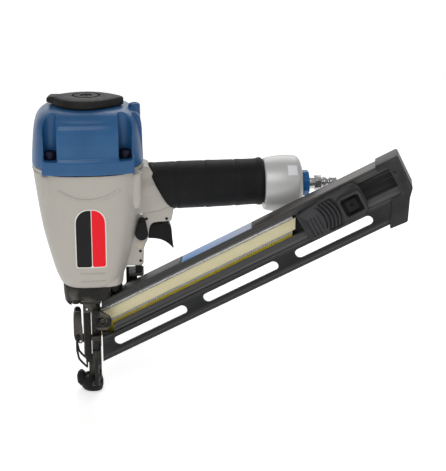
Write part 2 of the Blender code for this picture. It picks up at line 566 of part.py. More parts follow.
# safety: upper yoke behind the rail, contact tip round the nozzle, no-mar boot, depth wheel
yoke = soften(prism("safety_yoke", [
    (0.5, 36), (7.5, 36), (7.5, 63), (33.0, 91), (41.6, 94), (41.6, 109.8), (44.6, 109.8), (44.6, 104.4),
    (47.6, 104.4), (47.6, 112.5), (31.6, 112.5), (31.6, 97.6), (20, 78.4), (0.5, 72)],
    12.6, 14.6, PHOSPHATE), 0.4)
add(yoke,
    box("yoke_bridge_solid", (34, 46), (-5.6, 14), (109.6, 112.5), tool=True),
    box("yoke_riser_solid", (39.6, 45.4), (-3.4, 3.4), (111, 144), tool=True),
    box("yoke_pad_solid", (39.6, 50.4), (-3.4, 3.4), (142.4, 144.6), tool=True))
tip = turned("contact_tip", [(7.5, 13.0), (7.5, 4.2), (5.0, 4.2), (5.0, 13.0)], PHOSPHATE, steps=28)
near_arm = soften(box("tip_arm_solid", (-1.8, 5.0), (-14.6, -5.6), (8.2, 13.0), tool=True), 0.8)
near_rod = rod("tip_rod_solid", 1.9, 8.4, 55.8, at=(TIP_ROD_X, TIP_ROD_Y, 0), steps=18, tool=True)
far_arm = prism("tip_far_solid", [(5.4, 8.2), (14.4, 8.2), (14.4, 35.4), (12.7, 35.4), (12.7, 13), (5.4, 13)],
                0.9, 7.1, plane="YZ", tool=True)
add(tip, near_arm, near_rod, far_arm)
cut(tip, rod("tip_bore_cut", 5.0, 0, 20, steps=28, tool=True))
boot = loft("no_mar_tip", [
    (0.0, 7.4, 7.2, -0.6), (1.2, 8.8, 8.4, -1.4), (4.0, 10.2, 9.6, -2.0), (9.0, 10.6, 9.9, -2.4),
    (12.6, 9.8, 9.4, -2.4), (14.0, 8.6, 8.6, -2.2)], RUBBER, power=2.2, points=32)
boot_lobe = loft("boot_lobe_solid", [
    (4.5, 2.5, 4.0, -10.6), (7.5, 4.4, 6.0, -11.2), (13.0, 4.6, 6.2, -11.5), (16.6, 3.4, 5.0, -11.7),
    (18.4, 1.6, 3.2, -11.7)], power=2.2, points=24, tool=True)
add(boot, boot_lobe)
cut(boot,
    rod("boot_socket_cut", 7.8, 3.9, 25, steps=28, tool=True),
    prism("boot_notch_cut", arc(0, 0, 5.2, 99, 441, 26) + [(0.8, 14), (-0.8, 14)], -5, 1.8, plane="XY",
          tool=True),
    rod("boot_bore_cut", 5.4, 1.2, 10, steps=28, tool=True),
    box("boot_arm_cut", (-2.1, 7.4), (-20, 20), (7.9, 30), tool=True),
    box("boot_clear_cut", (-6.9, 12), (-20, 20), (14.2, 30), tool=True))
wheel = ring("depth_wheel", 2.2, 3.4, 36.0, 43.0, PHOSPHATE, at=(TIP_ROD_X, TIP_ROD_Y, 0), steps=24)
for i in range(8):
    angle = math.tau * (i + 0.3) / 8
    cut(wheel, rod(f"wheel_flute_cut_{i}", 0.7, 35, 44, steps=8, tool=True,
                   at=(TIP_ROD_X + 3.6 * math.cos(angle), TIP_ROD_Y + 3.6 * math.sin(angle), 0)))
coil("safety_spring", 1.9, 0.4, 112.8, 140.6, 7, STEEL, at=(42.5, 10), per_turn=8)

# ------------------------------------------------------------------ magazine
rail_profile = [
    (-12, 0), (12, 0), (12, -34.2), (-8, -34.2), (-8, -MAG_DEPTH), (-12, -MAG_DEPTH), (-12, -29.5),
    (-10.6, -29.5), (-10.6, -26.2), (-12, -26.2), (-12, -22.8), (-8, -22.8), (-8, -31.2), (9, -31.2),
    (9, -3), (-9.4, -3), (-9.4, -5.5), (-12, -5.5)]
rail = on_rail(prism("magazine_body", rail_profile, MAG_FRONT, MAG_REAR, RAIL, plane="YZ"))
for i in range(3):
    middle = 41.2 + MAG_SLOT_PITCH * i
    half = (MAG_SLOT_LENGTH - MAG_SLOT_HEIGHT) / 2
    outline = (arc(middle + half, -MAG_SLOT_V, MAG_SLOT_HEIGHT / 2, -90, 90, 8)
               + arc(middle - half, -MAG_SLOT_V, MAG_SLOT_HEIGHT / 2, 90, 270, 8))
    cut(rail, on_rail(prism(f"rail_slot_cut_{i}", outline, -16, -4, tool=True)))
heel = [(297.7, -35.2), (286.5, -53.3), (286.5, -60), (310, -60), (310, -35.2)]
cut(rail, on_rail(prism("rail_heel_cut", heel, -20, 20, tool=True)))
cut(rail,
    box("rail_front_cut", (-60, 8.4), (-40, 40), (20, 130), tool=True),
    prism("rail_eye_cut", [(8, 84), (18, 84), (18.6, 60), (8, 60)], -40, -10.6, tool=True))

add(rail, prism("rail_lug_solid", [(17.6, 91.4), (26, 96.1), (24.6, 102.6), (21.4, 104.5), (17.6, 102.6)],
                -2.8, 2.8, tool=True))
cut(rail, rod("rail_lug_cut", 2.3, -12, 12, at=(MOUNT_X, 0, MOUNT_Z), axis="Y", steps=16, tool=True))
turned("mount_bolt", [(0, 8.6), (2.0, 8.6), (2.0, -9.4), (3.8, -9.4), (3.8, -12.0), (3.0, -12.9), (0, -12.9)],
       STEEL, at=(MOUNT_X, 0, MOUNT_Z), axis="Y", steps=20)

strip_bottom = NAIL_TIP_V - NAIL_HEAD_V
strip = on_rail(prism("nail_strip", [
    (STRIP_FRONT, -NAIL_HEAD_V), (STRIP_REAR, -NAIL_HEAD_V),
    (STRIP_REAR, -22.0), (STRIP_REAR - NAIL_LEAN * strip_bottom + 6, -NAIL_TIP_V),
    (STRIP_FRONT - NAIL_LEAN * strip_bottom, -NAIL_TIP_V)], -0.9, 0.9, NAIL))
heads = on_rail(box("strip_heads_solid", (STRIP_FRONT, STRIP_REAR), (-1.7, 1.7), (-9.9, -8.5), tool=True))
add(strip, heads)
tape = on_rail(prism("paper_tape", [
    (STRIP_FRONT, -10.8), (STRIP_REAR + 1, -10.8), (STRIP_REAR + 1, -20.2),
    (STRIP_FRONT - NAIL_LEAN * 9.4, -20.2)], -1.6, -1.2, PAPER))
front_plane = box("strip_front_cut", (-30, 2.4), (-20, 20), (30, 110), tool=True)
cut(strip, front_plane)
cut(tape, front_plane)

pusher = on_rail(soften(prism("pusher", [
    (206, -6.2), (236, -2.0), (262, -2.0), (265.5, -6.0), (266, -22), (259.5, -32.6), (209, -32.6),
    (206, -28)], -17.5, -12.4, BLACK), 1.2, 1, 50))
shoe = on_rail(prism("pusher_shoe_solid", [
    (204, -3.8), (262, -3.8), (262, -22.2), (250, -30.4), (204, -30.4)], -7.4, 8.4, tool=True))
neck = on_rail(box("pusher_neck_solid", (207, 261), (-13.5, -7), (-22.2, -6.2), tool=True))
frame_pad = on_rail(soften(box("pusher_frame_solid", (241.8, 264.4), (-19.6, -14), (-29.2, -8.2), tool=True),
                           1.5, 1))
add(pusher, shoe, neck, frame_pad)
cut(pusher,
    on_rail(box("button_recess_cut", (244.8, 261.8), (-30, -14.2), (-26.8, -10.8), tool=True)),
    on_rail(box("spring_pocket_cut", (222, 242), (-5.4, 5.4), (-27.5, -7.5), tool=True)),
    on_rail(box("spring_exit_cut", (200, 232), (-5.4, 5.4), (-27.5, -25.8), tool=True)))
for i in range(4):
    at = 212.4 + 3.6 * i
    cut(pusher, on_rail(box(f"pusher_groove_cut_{i}", (at, at + 1.5), (-30, -16.6), (-29, -14), tool=True)))
for i in range(5):
    rib_arc = arc(205 + 4.4 * i, -14, 22, -32, 32, 6) + arc(203.4 + 4.4 * i, -14, 22, 32, -32, 6)
    add(pusher, on_rail(prism(f"pusher_rib_solid_{i}", rib_arc, -18.4, -16, tool=True)))
button = on_rail(soften(box("pusher_button", (247.6, 258.8), (-19.0, -17.0), (-24.0, -13.4), BLACK), 0.8, 1))
cut(button, on_rail(rod("button_hole_cut", 1.4, -20, -18.2, at=(253, 0, -18.6), axis="Y", steps=12,
                        tool=True)))
roll = on_rail(ring("pusher_spring", 3.2, 8.6, -5.0, 5.0, STEEL, at=(232, 0, -17.2), axis="Y", steps=28))

end_cap = on_rail(soften(prism("magazine_end_cap", [
    (285, 1.5), (304.6, 1.5), (305.6, 0.4), (304.9, -29.8), (299.2, -36.2), (288.0, -54.2), (271.6, -53.2),
    (284.0, -32.4), (285, -30)], -13.6, 13.6, BLACK), 1.0, 1, 50))
cut(end_cap,
    on_rail(prism("end_cap_socket_cut", [
        (200, 0.4), (295.3, 0.4), (295.3, -39.8), (288.4, -50.9), (200, -50.9)], -12.4, 12.4, tool=True)),
    on_rail(prism("end_cap_window_cut", [
        (270, -2.4), (290.2, -2.4), (294.6, -6.8), (294.6, -30.6), (270, -30.6)], -20, -11, tool=True)),
    on_rail(rod("end_cap_hole_cut", 0.8, -15, -11, at=(297.6, 0, -10.4), axis="Y", steps=12, tool=True)))
for i, z in enumerate((-9.0, -25.0)):
    at = (290.4, 0, z)
    cut(end_cap, on_rail(rod(f"end_cap_thread_cut_{i}", 1.9, 9.2, 16, at=at, axis="Y", steps=14, tool=True)))
    cut(rail, on_rail(rod(f"rail_thread_cut_{i}", 1.9, 7, 13, at=at, axis="Y", steps=14, tool=True)))
    on_rail(turned(f"end_cap_screw_{i + 1}", [
        (0, 14.6), (1.3, 14.6), (1.3, 15.6), (3.2, 15.0), (3.4, 13.9), (1.6, 13.9), (1.6, 9.4), (0, 9.4)],
        STEEL, at=at, axis="Y", steps=16))

for obj in [*gun.objects, *cutters.objects]:
    if obj.parent is None and obj is not drive_frame:
        obj.parent = drive_frame

for obj in gun.objects:
    if obj.type == "MESH":
        if any(mod.type == "BOOLEAN" for mod in obj.modifiers):
            close = obj.modifiers.new("close_slivers", "WELD")
            close.merge_threshold = 0.00002
        for poly in obj.data.polygons:
            poly.use_smooth = True
        obj.data.set_sharp_from_angle(angle=math.radians(35))
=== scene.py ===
"""Looks for the angled finish nailer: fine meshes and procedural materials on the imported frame."""
import math

import bmesh
import bpy
from mathutils import Matrix, Vector


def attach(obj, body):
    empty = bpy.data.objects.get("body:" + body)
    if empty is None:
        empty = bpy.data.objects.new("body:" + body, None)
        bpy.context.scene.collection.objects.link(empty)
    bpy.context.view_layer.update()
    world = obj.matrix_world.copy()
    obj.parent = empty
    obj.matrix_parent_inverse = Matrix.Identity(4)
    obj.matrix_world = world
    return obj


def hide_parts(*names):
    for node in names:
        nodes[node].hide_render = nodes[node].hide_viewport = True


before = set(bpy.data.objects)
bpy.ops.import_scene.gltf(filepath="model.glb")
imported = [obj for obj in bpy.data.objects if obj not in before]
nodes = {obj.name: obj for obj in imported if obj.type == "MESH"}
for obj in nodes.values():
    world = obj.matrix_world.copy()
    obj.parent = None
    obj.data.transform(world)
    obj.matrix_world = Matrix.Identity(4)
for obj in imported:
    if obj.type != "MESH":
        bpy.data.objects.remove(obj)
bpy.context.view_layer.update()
MM = 0.001
CORNERS = [(sx, sy) for sx in (-1, 1) for sy in (-1, 1)]
# shapes are drawn about the drive axis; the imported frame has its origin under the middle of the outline
DRIVE = Matrix.Translation((-0.1143, 0.0106, 0.0))

# ------------------------------------------------------------------ materials


def srgb(r, g, b):
    def lin(c):
        c /= 255
        return c / 12.92 if c <= 0.04045 else ((c + 0.055) / 1.055) ** 2.4
    return (lin(r), lin(g), lin(b), 1.0)


class Mat:
    """Small helper that builds a Principled material node by node."""

    def __init__(self, name):
        self.mat = bpy.data.materials.new(name)
        self.mat.use_nodes = True
        self.tree = self.mat.node_tree
        self.shader = self.tree.nodes["Principled BSDF"]
        self.coord = self.tree.nodes.new("ShaderNodeTexCoord")

    def set(self, **values):
        for key, value in values.items():
            self.shader.inputs[key.replace("_", " ")].default_value = value
        return self

    def node(self, kind, **values):
        made = self.tree.nodes.new(kind)
        for key, value in values.items():
            if key in made.inputs:
                made.inputs[key].default_value = value
            else:
                setattr(made, key, value)
        return made

    def link(self, a, b):
        self.tree.links.new(a, b)

    def mapped(self, scale=(1, 1, 1), rotation=(0, 0, 0)):
        mapping = self.node("ShaderNodeMapping")
        mapping.inputs["Scale"].default_value = scale
        mapping.inputs["Rotation"].default_value = rotation
        self.link(self.coord.outputs["Object"], mapping.inputs["Vector"])
        return mapping.outputs["Vector"]

    def noise(self, scale, detail=4.0, rough=0.5, stretch=(1, 1, 1), rotation=(0, 0, 0)):
        tex = self.node("ShaderNodeTexNoise", Scale=scale, Detail=detail, Roughness=rough)
        self.link(self.mapped(stretch, rotation), tex.inputs["Vector"])
        return tex.outputs["Fac"]

    def voronoi(self, scale, stretch=(1, 1, 1)):
        tex = self.node("ShaderNodeTexVoronoi", Scale=scale)
        self.link(self.mapped(stretch), tex.inputs["Vector"])
        return tex.outputs["Distance"]

    def ramp(self, fac, stops):
        ramp = self.node("ShaderNodeValToRGB")
        points = ramp.color_ramp.elements
        while len(points) < len(stops):
            points.new(0.5)
        for point, (at, colour) in zip(points, stops):
            point.position = at
            point.color = colour if len(colour) == 4 else (*colour, 1.0)
        self.link(fac, ramp.inputs["Fac"])
        return ramp.outputs["Color"]

    def mix(self, fac, a, b, blend="MIX"):
        mix = self.node("ShaderNodeMix", data_type="RGBA", blend_type=blend)
        for source, slot in ((fac, 0), (a, 6), (b, 7)):
            if isinstance(source, (int, float, tuple)):
                mix.inputs[slot].default_value = source
            else:
                self.link(source, mix.inputs[slot])
        return mix.outputs[2]

    def span(self, fac, low, high):
        rng = self.node("ShaderNodeMapRange")
        rng.inputs["To Min"].default_value = low
        rng.inputs["To Max"].default_value = high
        self.link(fac, rng.inputs["Value"])
        return rng.outputs["Result"]

    def edges(self, low=0.52, high=0.6):
        """Mask that is white on worn, outward edges."""
        geo = self.node("ShaderNodeNewGeometry")
        return self.ramp(geo.outputs["Pointiness"], [(low, (0, 0, 0)), (high, (1, 1, 1))])

    def bump(self, height, strength, distance=0.0002):
        bump = self.node("ShaderNodeBump", Strength=strength, Distance=distance)
        self.link(height, bump.inputs["Height"])
        prior = self.shader.inputs["Normal"]
        if prior.is_linked:
            self.link(prior.links[0].from_socket, bump.inputs["Normal"])
        self.link(bump.outputs["Normal"], prior)
        return self

    def colour(self, socket):
        self.link(socket, self.shader.inputs["Base Color"])
        return self

    def rough(self, socket):
        self.link(socket, self.shader.inputs["Roughness"])
        return self


def painted(name, base, dark, rough=(0.3, 0.45), metallic=0.0, coat=0.0, peel=0.12):
    m = Mat(name).set(Metallic=metallic, Coat_Weight=coat, Coat_Roughness=0.12)
    cloud = m.noise(28, 5, 0.6)
    tint = m.ramp(cloud, [(0.3, dark), (0.7, base)])
    m.colour(tint).rough(m.span(m.noise(160, 3), *rough))
    m.bump(m.noise(1400, 2), peel, 0.00012)
    m.bump(m.noise(320, 2), peel * 0.6, 0.0002)
    return m


def metal_flake(name, base, dark, metallic, rough):
    m = Mat(name).set(Metallic=metallic, Coat_Weight=0.15, Coat_Roughness=0.25)
    flakes = m.ramp(m.noise(5200, 1), [(0.35, dark), (0.62, base)])
    cloud = m.mix(m.span(m.noise(22, 4), 0.0, 0.25), flakes, dark)
    m.colour(cloud).rough(m.span(m.noise(140, 3), *rough))
    m.bump(m.noise(1100, 2), 0.1, 0.0002)
    return m


def grained(name, base, light, rough=(0.42, 0.6), scale=1500, strength=0.25):
    m = Mat(name)
    worn = m.mix(m.edges(), m.ramp(m.noise(60, 4), [(0.35, base), (0.75, light)]), light)
    m.colour(worn).rough(m.span(m.noise(220, 3), *rough))
    m.bump(m.voronoi(scale), strength, 0.00015)
    m.bump(m.noise(500, 3), strength * 0.5, 0.0002)
    m.set(Specular_IOR_Level=0.3)
    return m


def steel(name, base, dark, rough=(0.2, 0.38), stretch=(1, 1, 1)):
    m = Mat(name).set(Metallic=1.0)
    m.colour(m.ramp(m.noise(90, 5, 0.6), [(0.3, dark), (0.7, base)]))
    m.rough(m.span(m.noise(300, 4, 0.6, stretch), *rough))
    m.bump(m.noise(700, 4, 0.6, stretch), 0.12, 0.0001)
    return m


def phosphate(name):
    m = Mat(name).set(Metallic=0.35, Specular_IOR_Level=0.35)
    body = m.ramp(m.noise(420, 6, 0.7), [(0.35, srgb(16, 16, 15)), (0.7, srgb(34, 33, 31))])
    m.colour(m.mix(m.edges(0.53, 0.62), body, srgb(88, 84, 78)))
    m.rough(m.span(m.noise(260, 4), 0.38, 0.62))
    m.bump(m.noise(1300, 4), 0.3, 0.00012)
    return m


GREY = metal_flake("cast_grey", srgb(184, 179, 171), srgb(163, 158, 149), 0.12, (0.38, 0.5))
BELL = metal_flake("bell_grey", srgb(204, 203, 201), srgb(176, 176, 175), 0.25, (0.34, 0.44))
BLUE = painted("enamel_blue", srgb(42, 92, 138), srgb(34, 79, 123), (0.32, 0.42), 0.0, 0.08, 0.0)
BLUE.set(Specular_IOR_Level=0.35)
BLACK = grained("moulded_black", srgb(7, 7, 8), srgb(17, 17, 18))
BLACK.set(Specular_IOR_Level=0.22)
PUSHER = grained("pusher_black", srgb(28, 28, 30), srgb(52, 52, 54), (0.38, 0.55))
DEFLECT = grained("deflector_black", srgb(19, 18, 16), srgb(32, 30, 28), (0.5, 0.66), 1100, 0.4)
PHOS = phosphate("phosphated_steel")
STEEL = steel("bright_steel", srgb(214, 214, 214), srgb(160, 160, 162), (0.16, 0.3))
BRASS = steel("brass", srgb(212, 172, 92), srgb(150, 112, 52), (0.25, 0.4))
ALLOY = steel("machined_alloy", srgb(220, 220, 222), srgb(180, 180, 184), (0.3, 0.42), (1, 1, 12))
PLUG = painted("plug_blue", srgb(10, 92, 152), srgb(6, 78, 132), (0.36, 0.46), 0.0, 0.0, 0.05)
AMBER = grained("amber_urethane", srgb(196, 140, 60), srgb(220, 170, 90), (0.35, 0.5), 900, 0.1)
SCREW = painted("screw_blue_black", srgb(22, 22, 52), srgb(14, 14, 34), (0.3, 0.45), 0.6, 0.0, 0.1)
BONE = painted("bone_plastic", srgb(196, 186, 166), srgb(178, 168, 148), (0.4, 0.5), 0.0, 0.0, 0.05)
# painted shade: flat near-black for the pusher's recess floor and the roll pins, standing in for the shade
# inside hollows
SHADE_BLACK = Mat("painted_recess_shade").set(Base_Color=srgb(16, 16, 17), Roughness=0.8)


def rubber_material():
    m = Mat("grip_rubber").set(Sheen_Weight=0.05, Sheen_Roughness=0.4, Specular_IOR_Level=0.22)
    m.colour(m.ramp(m.noise(45, 5, 0.6), [(0.3, srgb(8, 8, 9)), (0.75, srgb(16, 16, 17))]))
    m.rough(m.span(m.noise(170, 4), 0.52, 0.72))
    m.bump(m.voronoi(1700), 0.35, 0.0002)
    m.bump(m.noise(130, 4, 0.6, (0.5, 1, 1)), 0.35, 0.0007)
    return m


RUBBER = rubber_material()


def rail_material(name, base, light, rough):
    """Black anodised extrusion with fine die lines along local X."""
    m = Mat(name).set(Metallic=0.1, Specular_IOR_Level=0.3)
    streak = m.noise(900, 3, 0.6, (0.012, 1, 1))
    m.colour(m.mix(m.edges(0.53, 0.6), m.ramp(streak, [(0.3, base), (0.72, light)]), srgb(92, 91, 90)))
    m.rough(m.span(m.noise(500, 4, 0.6, (0.05, 1, 1)), *rough))
    m.bump(streak, 0.25, 0.0001)
    return m


RAIL = rail_material("anodised_black", srgb(16, 17, 19), srgb(28, 29, 31), (0.4, 0.54))
# painted light: a lighter copy of the rail colour for the rear top cover and the channel ribs
RAIL_TOP_LIT = rail_material("rail_top_cover", srgb(44, 42, 41), srgb(62, 60, 58), (0.38, 0.5))


# painted shade: a darker copy of the top cover colour for the front cover near the nose
RAIL_SHADE = rail_material("rail_top_front_painted_shade", srgb(30, 28, 26), srgb(46, 42, 40), (0.42, 0.56))
COPPER = painted("worn_edge", srgb(126, 84, 58), srgb(92, 60, 42), (0.4, 0.5), 0.3, 0.0, 0.05)


def paper_material():
    m = Mat("tan_paper")
    fibre = m.noise(900, 6, 0.7, (0.3, 1, 1))
    m.colour(m.ramp(fibre, [(0.3, srgb(252, 238, 184)), (0.7, srgb(255, 249, 214))]))
    m.set(Roughness=0.75)
    m.bump(m.noise(600, 4), 0.2, 0.00008)
    return m


def nail_material():
    """Plated wire, yellowed by the glue below the tape."""
    m = Mat("nail_wire").set(Metallic=0.05)
    split = m.node("ShaderNodeSeparateXYZ")
    m.link(m.coord.outputs["Object"], split.inputs["Vector"])
    depth = m.node("ShaderNodeMapRange")
    depth.inputs["From Min"].default_value = -0.0218
    depth.inputs["From Max"].default_value = -0.0228
    m.link(split.outputs["Z"], depth.inputs["Value"])
    wire = m.ramp(m.noise(700, 4), [(0.3, srgb(238, 238, 236)), (0.7, srgb(255, 255, 254))])
    glue = m.ramp(m.noise(400, 4), [(0.3, srgb(250, 220, 24)), (0.7, srgb(255, 246, 110))])
    m.colour(m.mix(depth.outputs["Result"], wire, glue)).rough(m.span(m.noise(300, 3), 0.28, 0.45))
    return m


PAPER = paper_material()
NAIL = nail_material()


def sticker(name, low, high, axis="X", span=(0.0, 0.07), gloss=0.5, haze=0.03):
    """Plain printed film that fades from one colour to another along an axis."""
    m = Mat(name).set(Roughness=gloss, Coat_Weight=0.04, Coat_Roughness=0.2, Specular_IOR_Level=0.2)
    split = m.node("ShaderNodeSeparateXYZ")
    m.link(m.coord.outputs["Object"], split.inputs["Vector"])
    rng = m.node("ShaderNodeMapRange")
    rng.inputs["From Min"].default_value, rng.inputs["From Max"].default_value = span
    m.link(split.outputs[axis], rng.inputs["Value"])
    cloud = m.mix(m.span(m.noise(90, 3), 0.0, haze), m.ramp(rng.outputs["Result"], [(0.0, low), (1.0, high)]),
                  srgb(235, 240, 246))
    m.colour(cloud)
    m.bump(m.noise(700, 3), 0.08, 0.0001)
    return m


LABEL_RED = sticker("label_red", srgb(232, 14, 32), srgb(226, 12, 28))
LABEL_BLACK = sticker("label_black", srgb(16, 14, 15), srgb(14, 13, 13))
LABEL_WHITE = sticker("label_white", srgb(226, 222, 216), srgb(232, 229, 224))
RAIL_STICKER = sticker("rail_sticker", srgb(62, 142, 214), srgb(190, 200, 232), "X", (0.105, 0.165),
                       0.35, 0.2)
BELL_STICKER = sticker("bell_sticker", srgb(236, 236, 238), srgb(226, 226, 230))
LABEL_RED.tree.nodes["Mix"].inputs[7].default_value = srgb(238, 60, 70)
LABEL_BLACK.tree.nodes["Mix"].inputs[7].default_value = srgb(60, 56, 58)

# ------------------------------------------------------------------ shape helpers
work = bpy.context.scene.collection


def link(name, mesh):
    obj = bpy.data.objects.new(name, mesh)
    work.objects.link(obj)
    return obj


def to_mesh(name, bm, scaled=True):
    if scaled:
        bmesh.ops.scale(bm, vec=(MM, MM, MM), verts=bm.verts)
    bmesh.ops.recalc_face_normals(bm, faces=bm.faces)
    mesh = bpy.data.meshes.new(name)
    bm.to_mesh(mesh)
    bm.free()
    return link(name, mesh)


def box(name, x, y, z):
    bm = bmesh.new()
    bmesh.ops.create_cube(bm, size=1.0)
    bmesh.ops.scale(bm, vec=[b - a for a, b in (x, y, z)], verts=bm.verts)
    bmesh.ops.translate(bm, vec=[(a + b) / 2 for a, b in (x, y, z)], verts=bm.verts)
    return to_mesh(name, bm)


def rings(name, loops, close_ends=True, cyclic=False):
    """Skin a list of equal point loops."""
    bm = bmesh.new()
    rows = [[bm.verts.new(p) for p in loop] for loop in loops]
    count = len(loops[0])
    pairs = list(zip(rows, rows[1:])) + ([(rows[-1], rows[0])] if cyclic else [])
    for a, b in pairs:
        for i in range(count):
            j = (i + 1) % count
            bm.faces.new((a[i], a[j], b[j], b[i]))
    if close_ends and not cyclic:
        bm.faces.new(rows[0])
        bm.faces.new(rows[-1])
    return to_mesh(name, bm)


def super_xy(half_x, half_y, power, count, centre=(0, 0)):
    loop = []
    for i in range(count):
        t = math.tau * i / count
        c, s = math.cos(t), math.sin(t)
        loop.append((centre[0] + math.copysign(abs(c) ** (2 / power), c) * half_x,
                     centre[1] + math.copysign(abs(s) ** (2 / power), s) * half_y))
    return loop


TURN = {"Z": lambda a, b, h: (a, b, h), "X": lambda a, b, h: (h, a, b), "Y": lambda a, b, h: (b, h, a)}


def turned(name, profile, at=(0, 0, 0), axis="Z", count=64):
    """Revolve (radius, height) points; a closed profile (no zero radius) makes a ring."""
    put = TURN[axis]
    loops = []
    closed = all(r > 0.001 for r, _ in profile)
    for r, h in profile:
        r = max(r, 0.02)
        loops.append([tuple(p + q for p, q in zip(put(r * math.cos(math.tau * i / count),
                                                      r * math.sin(math.tau * i / count), h), at))
                      for i in range(count)])
    return rings(name, loops, not closed, closed)


def rod(name, radius, start, stop, **where):
    """Plain cylinder between two heights on its axis."""
    return turned(name, [(0, start), (radius, start), (radius, stop), (0, stop)], **where)


def smooth_profile(points, radius=0.5, steps=3):
    """Round the corners of an open polyline of (r, h) points."""
    out = [points[0]]
    for before, here, after in zip(points, points[1:], points[2:]):
        a, p, b = Vector(before), Vector(here), Vector(after)
        la, lb = (a - p).length, (b - p).length
        cut = min(radius, la * 0.45, lb * 0.45)
        if cut < 1e-4:
            out.append(here)
            continue
        s, e = p + (a - p) / la * cut, p + (b - p) / lb * cut
        for i in range(steps + 1):
            t = i / steps
            q = s * (1 - t) ** 2 + p * 2 * t * (1 - t) + e * t * t
            out.append((q.x, q.y))
    out.append(points[-1])
    return out


def round_outline(points, radius, steps=4):
    """Round every corner of a closed outline."""
    count = len(points)
    out = []
    for i in range(count):
        a, p, b = (Vector(points[(i + k) % count]) for k in (-1, 0, 1))
        la, lb = (a - p).length, (b - p).length
        cut = min(radius, la * 0.48, lb * 0.48)
        s, e = p + (a - p) / la * cut, p + (b - p) / lb * cut
        for k in range(steps + 1):
            t = k / steps
            q = s * (1 - t) ** 2 + p * 2 * t * (1 - t) + e * t * t
            out.append((q.x, q.y))
    return out


PLANES = {"XZ": lambda a, b, t: (a, t, b), "YZ": lambda a, b, t: (t, a, b), "XY": lambda a, b, t: (a, b, t)}


def prism(name, outline, low, high, plane="XZ"):
    put = PLANES[plane]
    return rings(name, [[put(a, b, t) for a, b in outline] for t in (low, high)])


def polygon(cx, cy, radius, sides, phase=0.5):
    turns = [math.tau * (i + phase) / sides for i in range(sides)]
    return [(cx + radius * math.cos(t), cy + radius * math.sin(t)) for t in turns]


def rect(u0, u1, v0, v1):
    return [(u0, v0), (u1, v0), (u1, v1), (u0, v1)]


def arc(cx, cy, radius, start, stop, count):
    return [(cx + radius * math.cos(math.radians(start + (stop - start) * i / count)),
             cy + radius * math.sin(math.radians(start + (stop - start) * i / count)))
            for i in range(count + 1)]


def tube(name, points, radius, resolution=4):
    curve = bpy.data.curves.new(name, "CURVE")
    curve.dimensions = "3D"
    spline = curve.splines.new("NURBS" if len(points) > 3 else "POLY")
    spline.points.add(len(points) - 1)
    for slot, point in zip(spline.points, points):
        slot.co = (*(c * MM for c in point), 1.0)
    spline.use_endpoint_u = True
    spline.order_u = 3
    curve.resolution_u = 6
    curve.bevel_depth = radius * MM
    curve.bevel_resolution = resolution
    curve.use_fill_caps = True
    temp = bpy.data.objects.new(name, curve)
    work.objects.link(temp)
    mesh = bpy.data.meshes.new_from_object(temp.evaluated_get(bpy.context.evaluated_depsgraph_get()))
    bpy.data.objects.remove(temp)
    bm = bmesh.new()
    bm.from_mesh(mesh)
    bmesh.ops.remove_doubles(bm, verts=bm.verts, dist=1e-7)
    return to_mesh(name, bm, scaled=False)


def apply_all(obj):
    """Bake the modifier stack into the mesh."""
    bpy.context.view_layer.update()
    baked = bpy.data.meshes.new_from_object(obj.evaluated_get(bpy.context.evaluated_depsgraph_get()))
    obj.modifiers.clear()
    obj.data = baked
    return obj


def volume(obj):
    bm = bmesh.new()
    bm.from_mesh(obj.data)
    size = abs(bm.calc_volume())
    bm.free()
    return size


def carve(obj, operation, *others):
    """Exact boolean that is tried again with self-overlaps allowed if it drops any volume."""
    for other in others:
        kept, before, tool = obj.data.copy(), volume(obj), volume(other)
        least, most = before - tool, before
        if operation == "UNION":
            least, most = max(before, tool) * 0.999, before + tool
        for own in (False, True):
            mod = obj.modifiers.new("bool", "BOOLEAN")
            mod.operation, mod.solver, mod.object, mod.use_self = operation, "EXACT", other, own
            apply_all(obj)
            whole = len(obj.data.polygons) > len(kept.polygons) / 2
            if whole and least * 0.999 - 1e-10 <= volume(obj) <= most * 1.001:
                break
            obj.data = kept.copy()
        else:
            if operation != "UNION":
                raise RuntimeError(f"{operation} of {other.name} on {obj.name} failed")
            both = bmesh.new()
            both.from_mesh(kept)
            tool_mesh = other.data.copy()
            tool_mesh.transform(obj.matrix_world.inverted() @ other.matrix_world)
            both.from_mesh(tool_mesh)
            both.to_mesh(obj.data)
            both.free()
        bpy.data.objects.remove(other)
    return obj


def cut(obj, *others):
    return carve(obj, "DIFFERENCE", *others)


def join(obj, *others):
    return carve(obj, "UNION", *others)


def cast(obj, voxel, iterations):
    """Give a joined solid the soft fillets of a casting: voxel remesh and a light smooth."""
    mod = obj.modifiers.new("remesh", "REMESH")
    mod.mode, mod.voxel_size, mod.adaptivity = "VOXEL", voxel * MM, 0.0
    soft = obj.modifiers.new("soften", "SMOOTH")
    soft.factor, soft.iterations = 0.5, iterations
    return apply_all(obj)


def bevel(obj, width, segments=3, angle=30):
    mod = obj.modifiers.new("edge", "BEVEL")
    mod.width, mod.segments = width * MM, segments
    mod.limit_method, mod.angle_limit = "ANGLE", math.radians(angle)
    return apply_all(obj)


def shade(obj, angle=35):
    for poly in obj.data.polygons:
        poly.use_smooth = True
    obj.data.set_sharp_from_angle(angle=math.radians(angle))
    return obj


def finish(obj, mat, body="gun_frame", replaces=(), angle=35):
    obj.data.materials.clear()
    obj.data.materials.append(mat.mat)
    shade(obj, angle)
    obj.matrix_world = DRIVE @ obj.matrix_world
    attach(obj, body)
    if replaces:
        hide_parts(*replaces)
    return obj


def joined(name, objects):
    """Collect loose solids that sit together into one piece."""
    bm = bmesh.new()
    for obj in objects:
        part = obj.data.copy()
        part.transform(obj.matrix_world)
        bm.from_mesh(part)
        bpy.data.objects.remove(obj)
    mesh = bpy.data.meshes.new(name)
    bm.to_mesh(mesh)
    bm.free()
    return link(name, mesh)


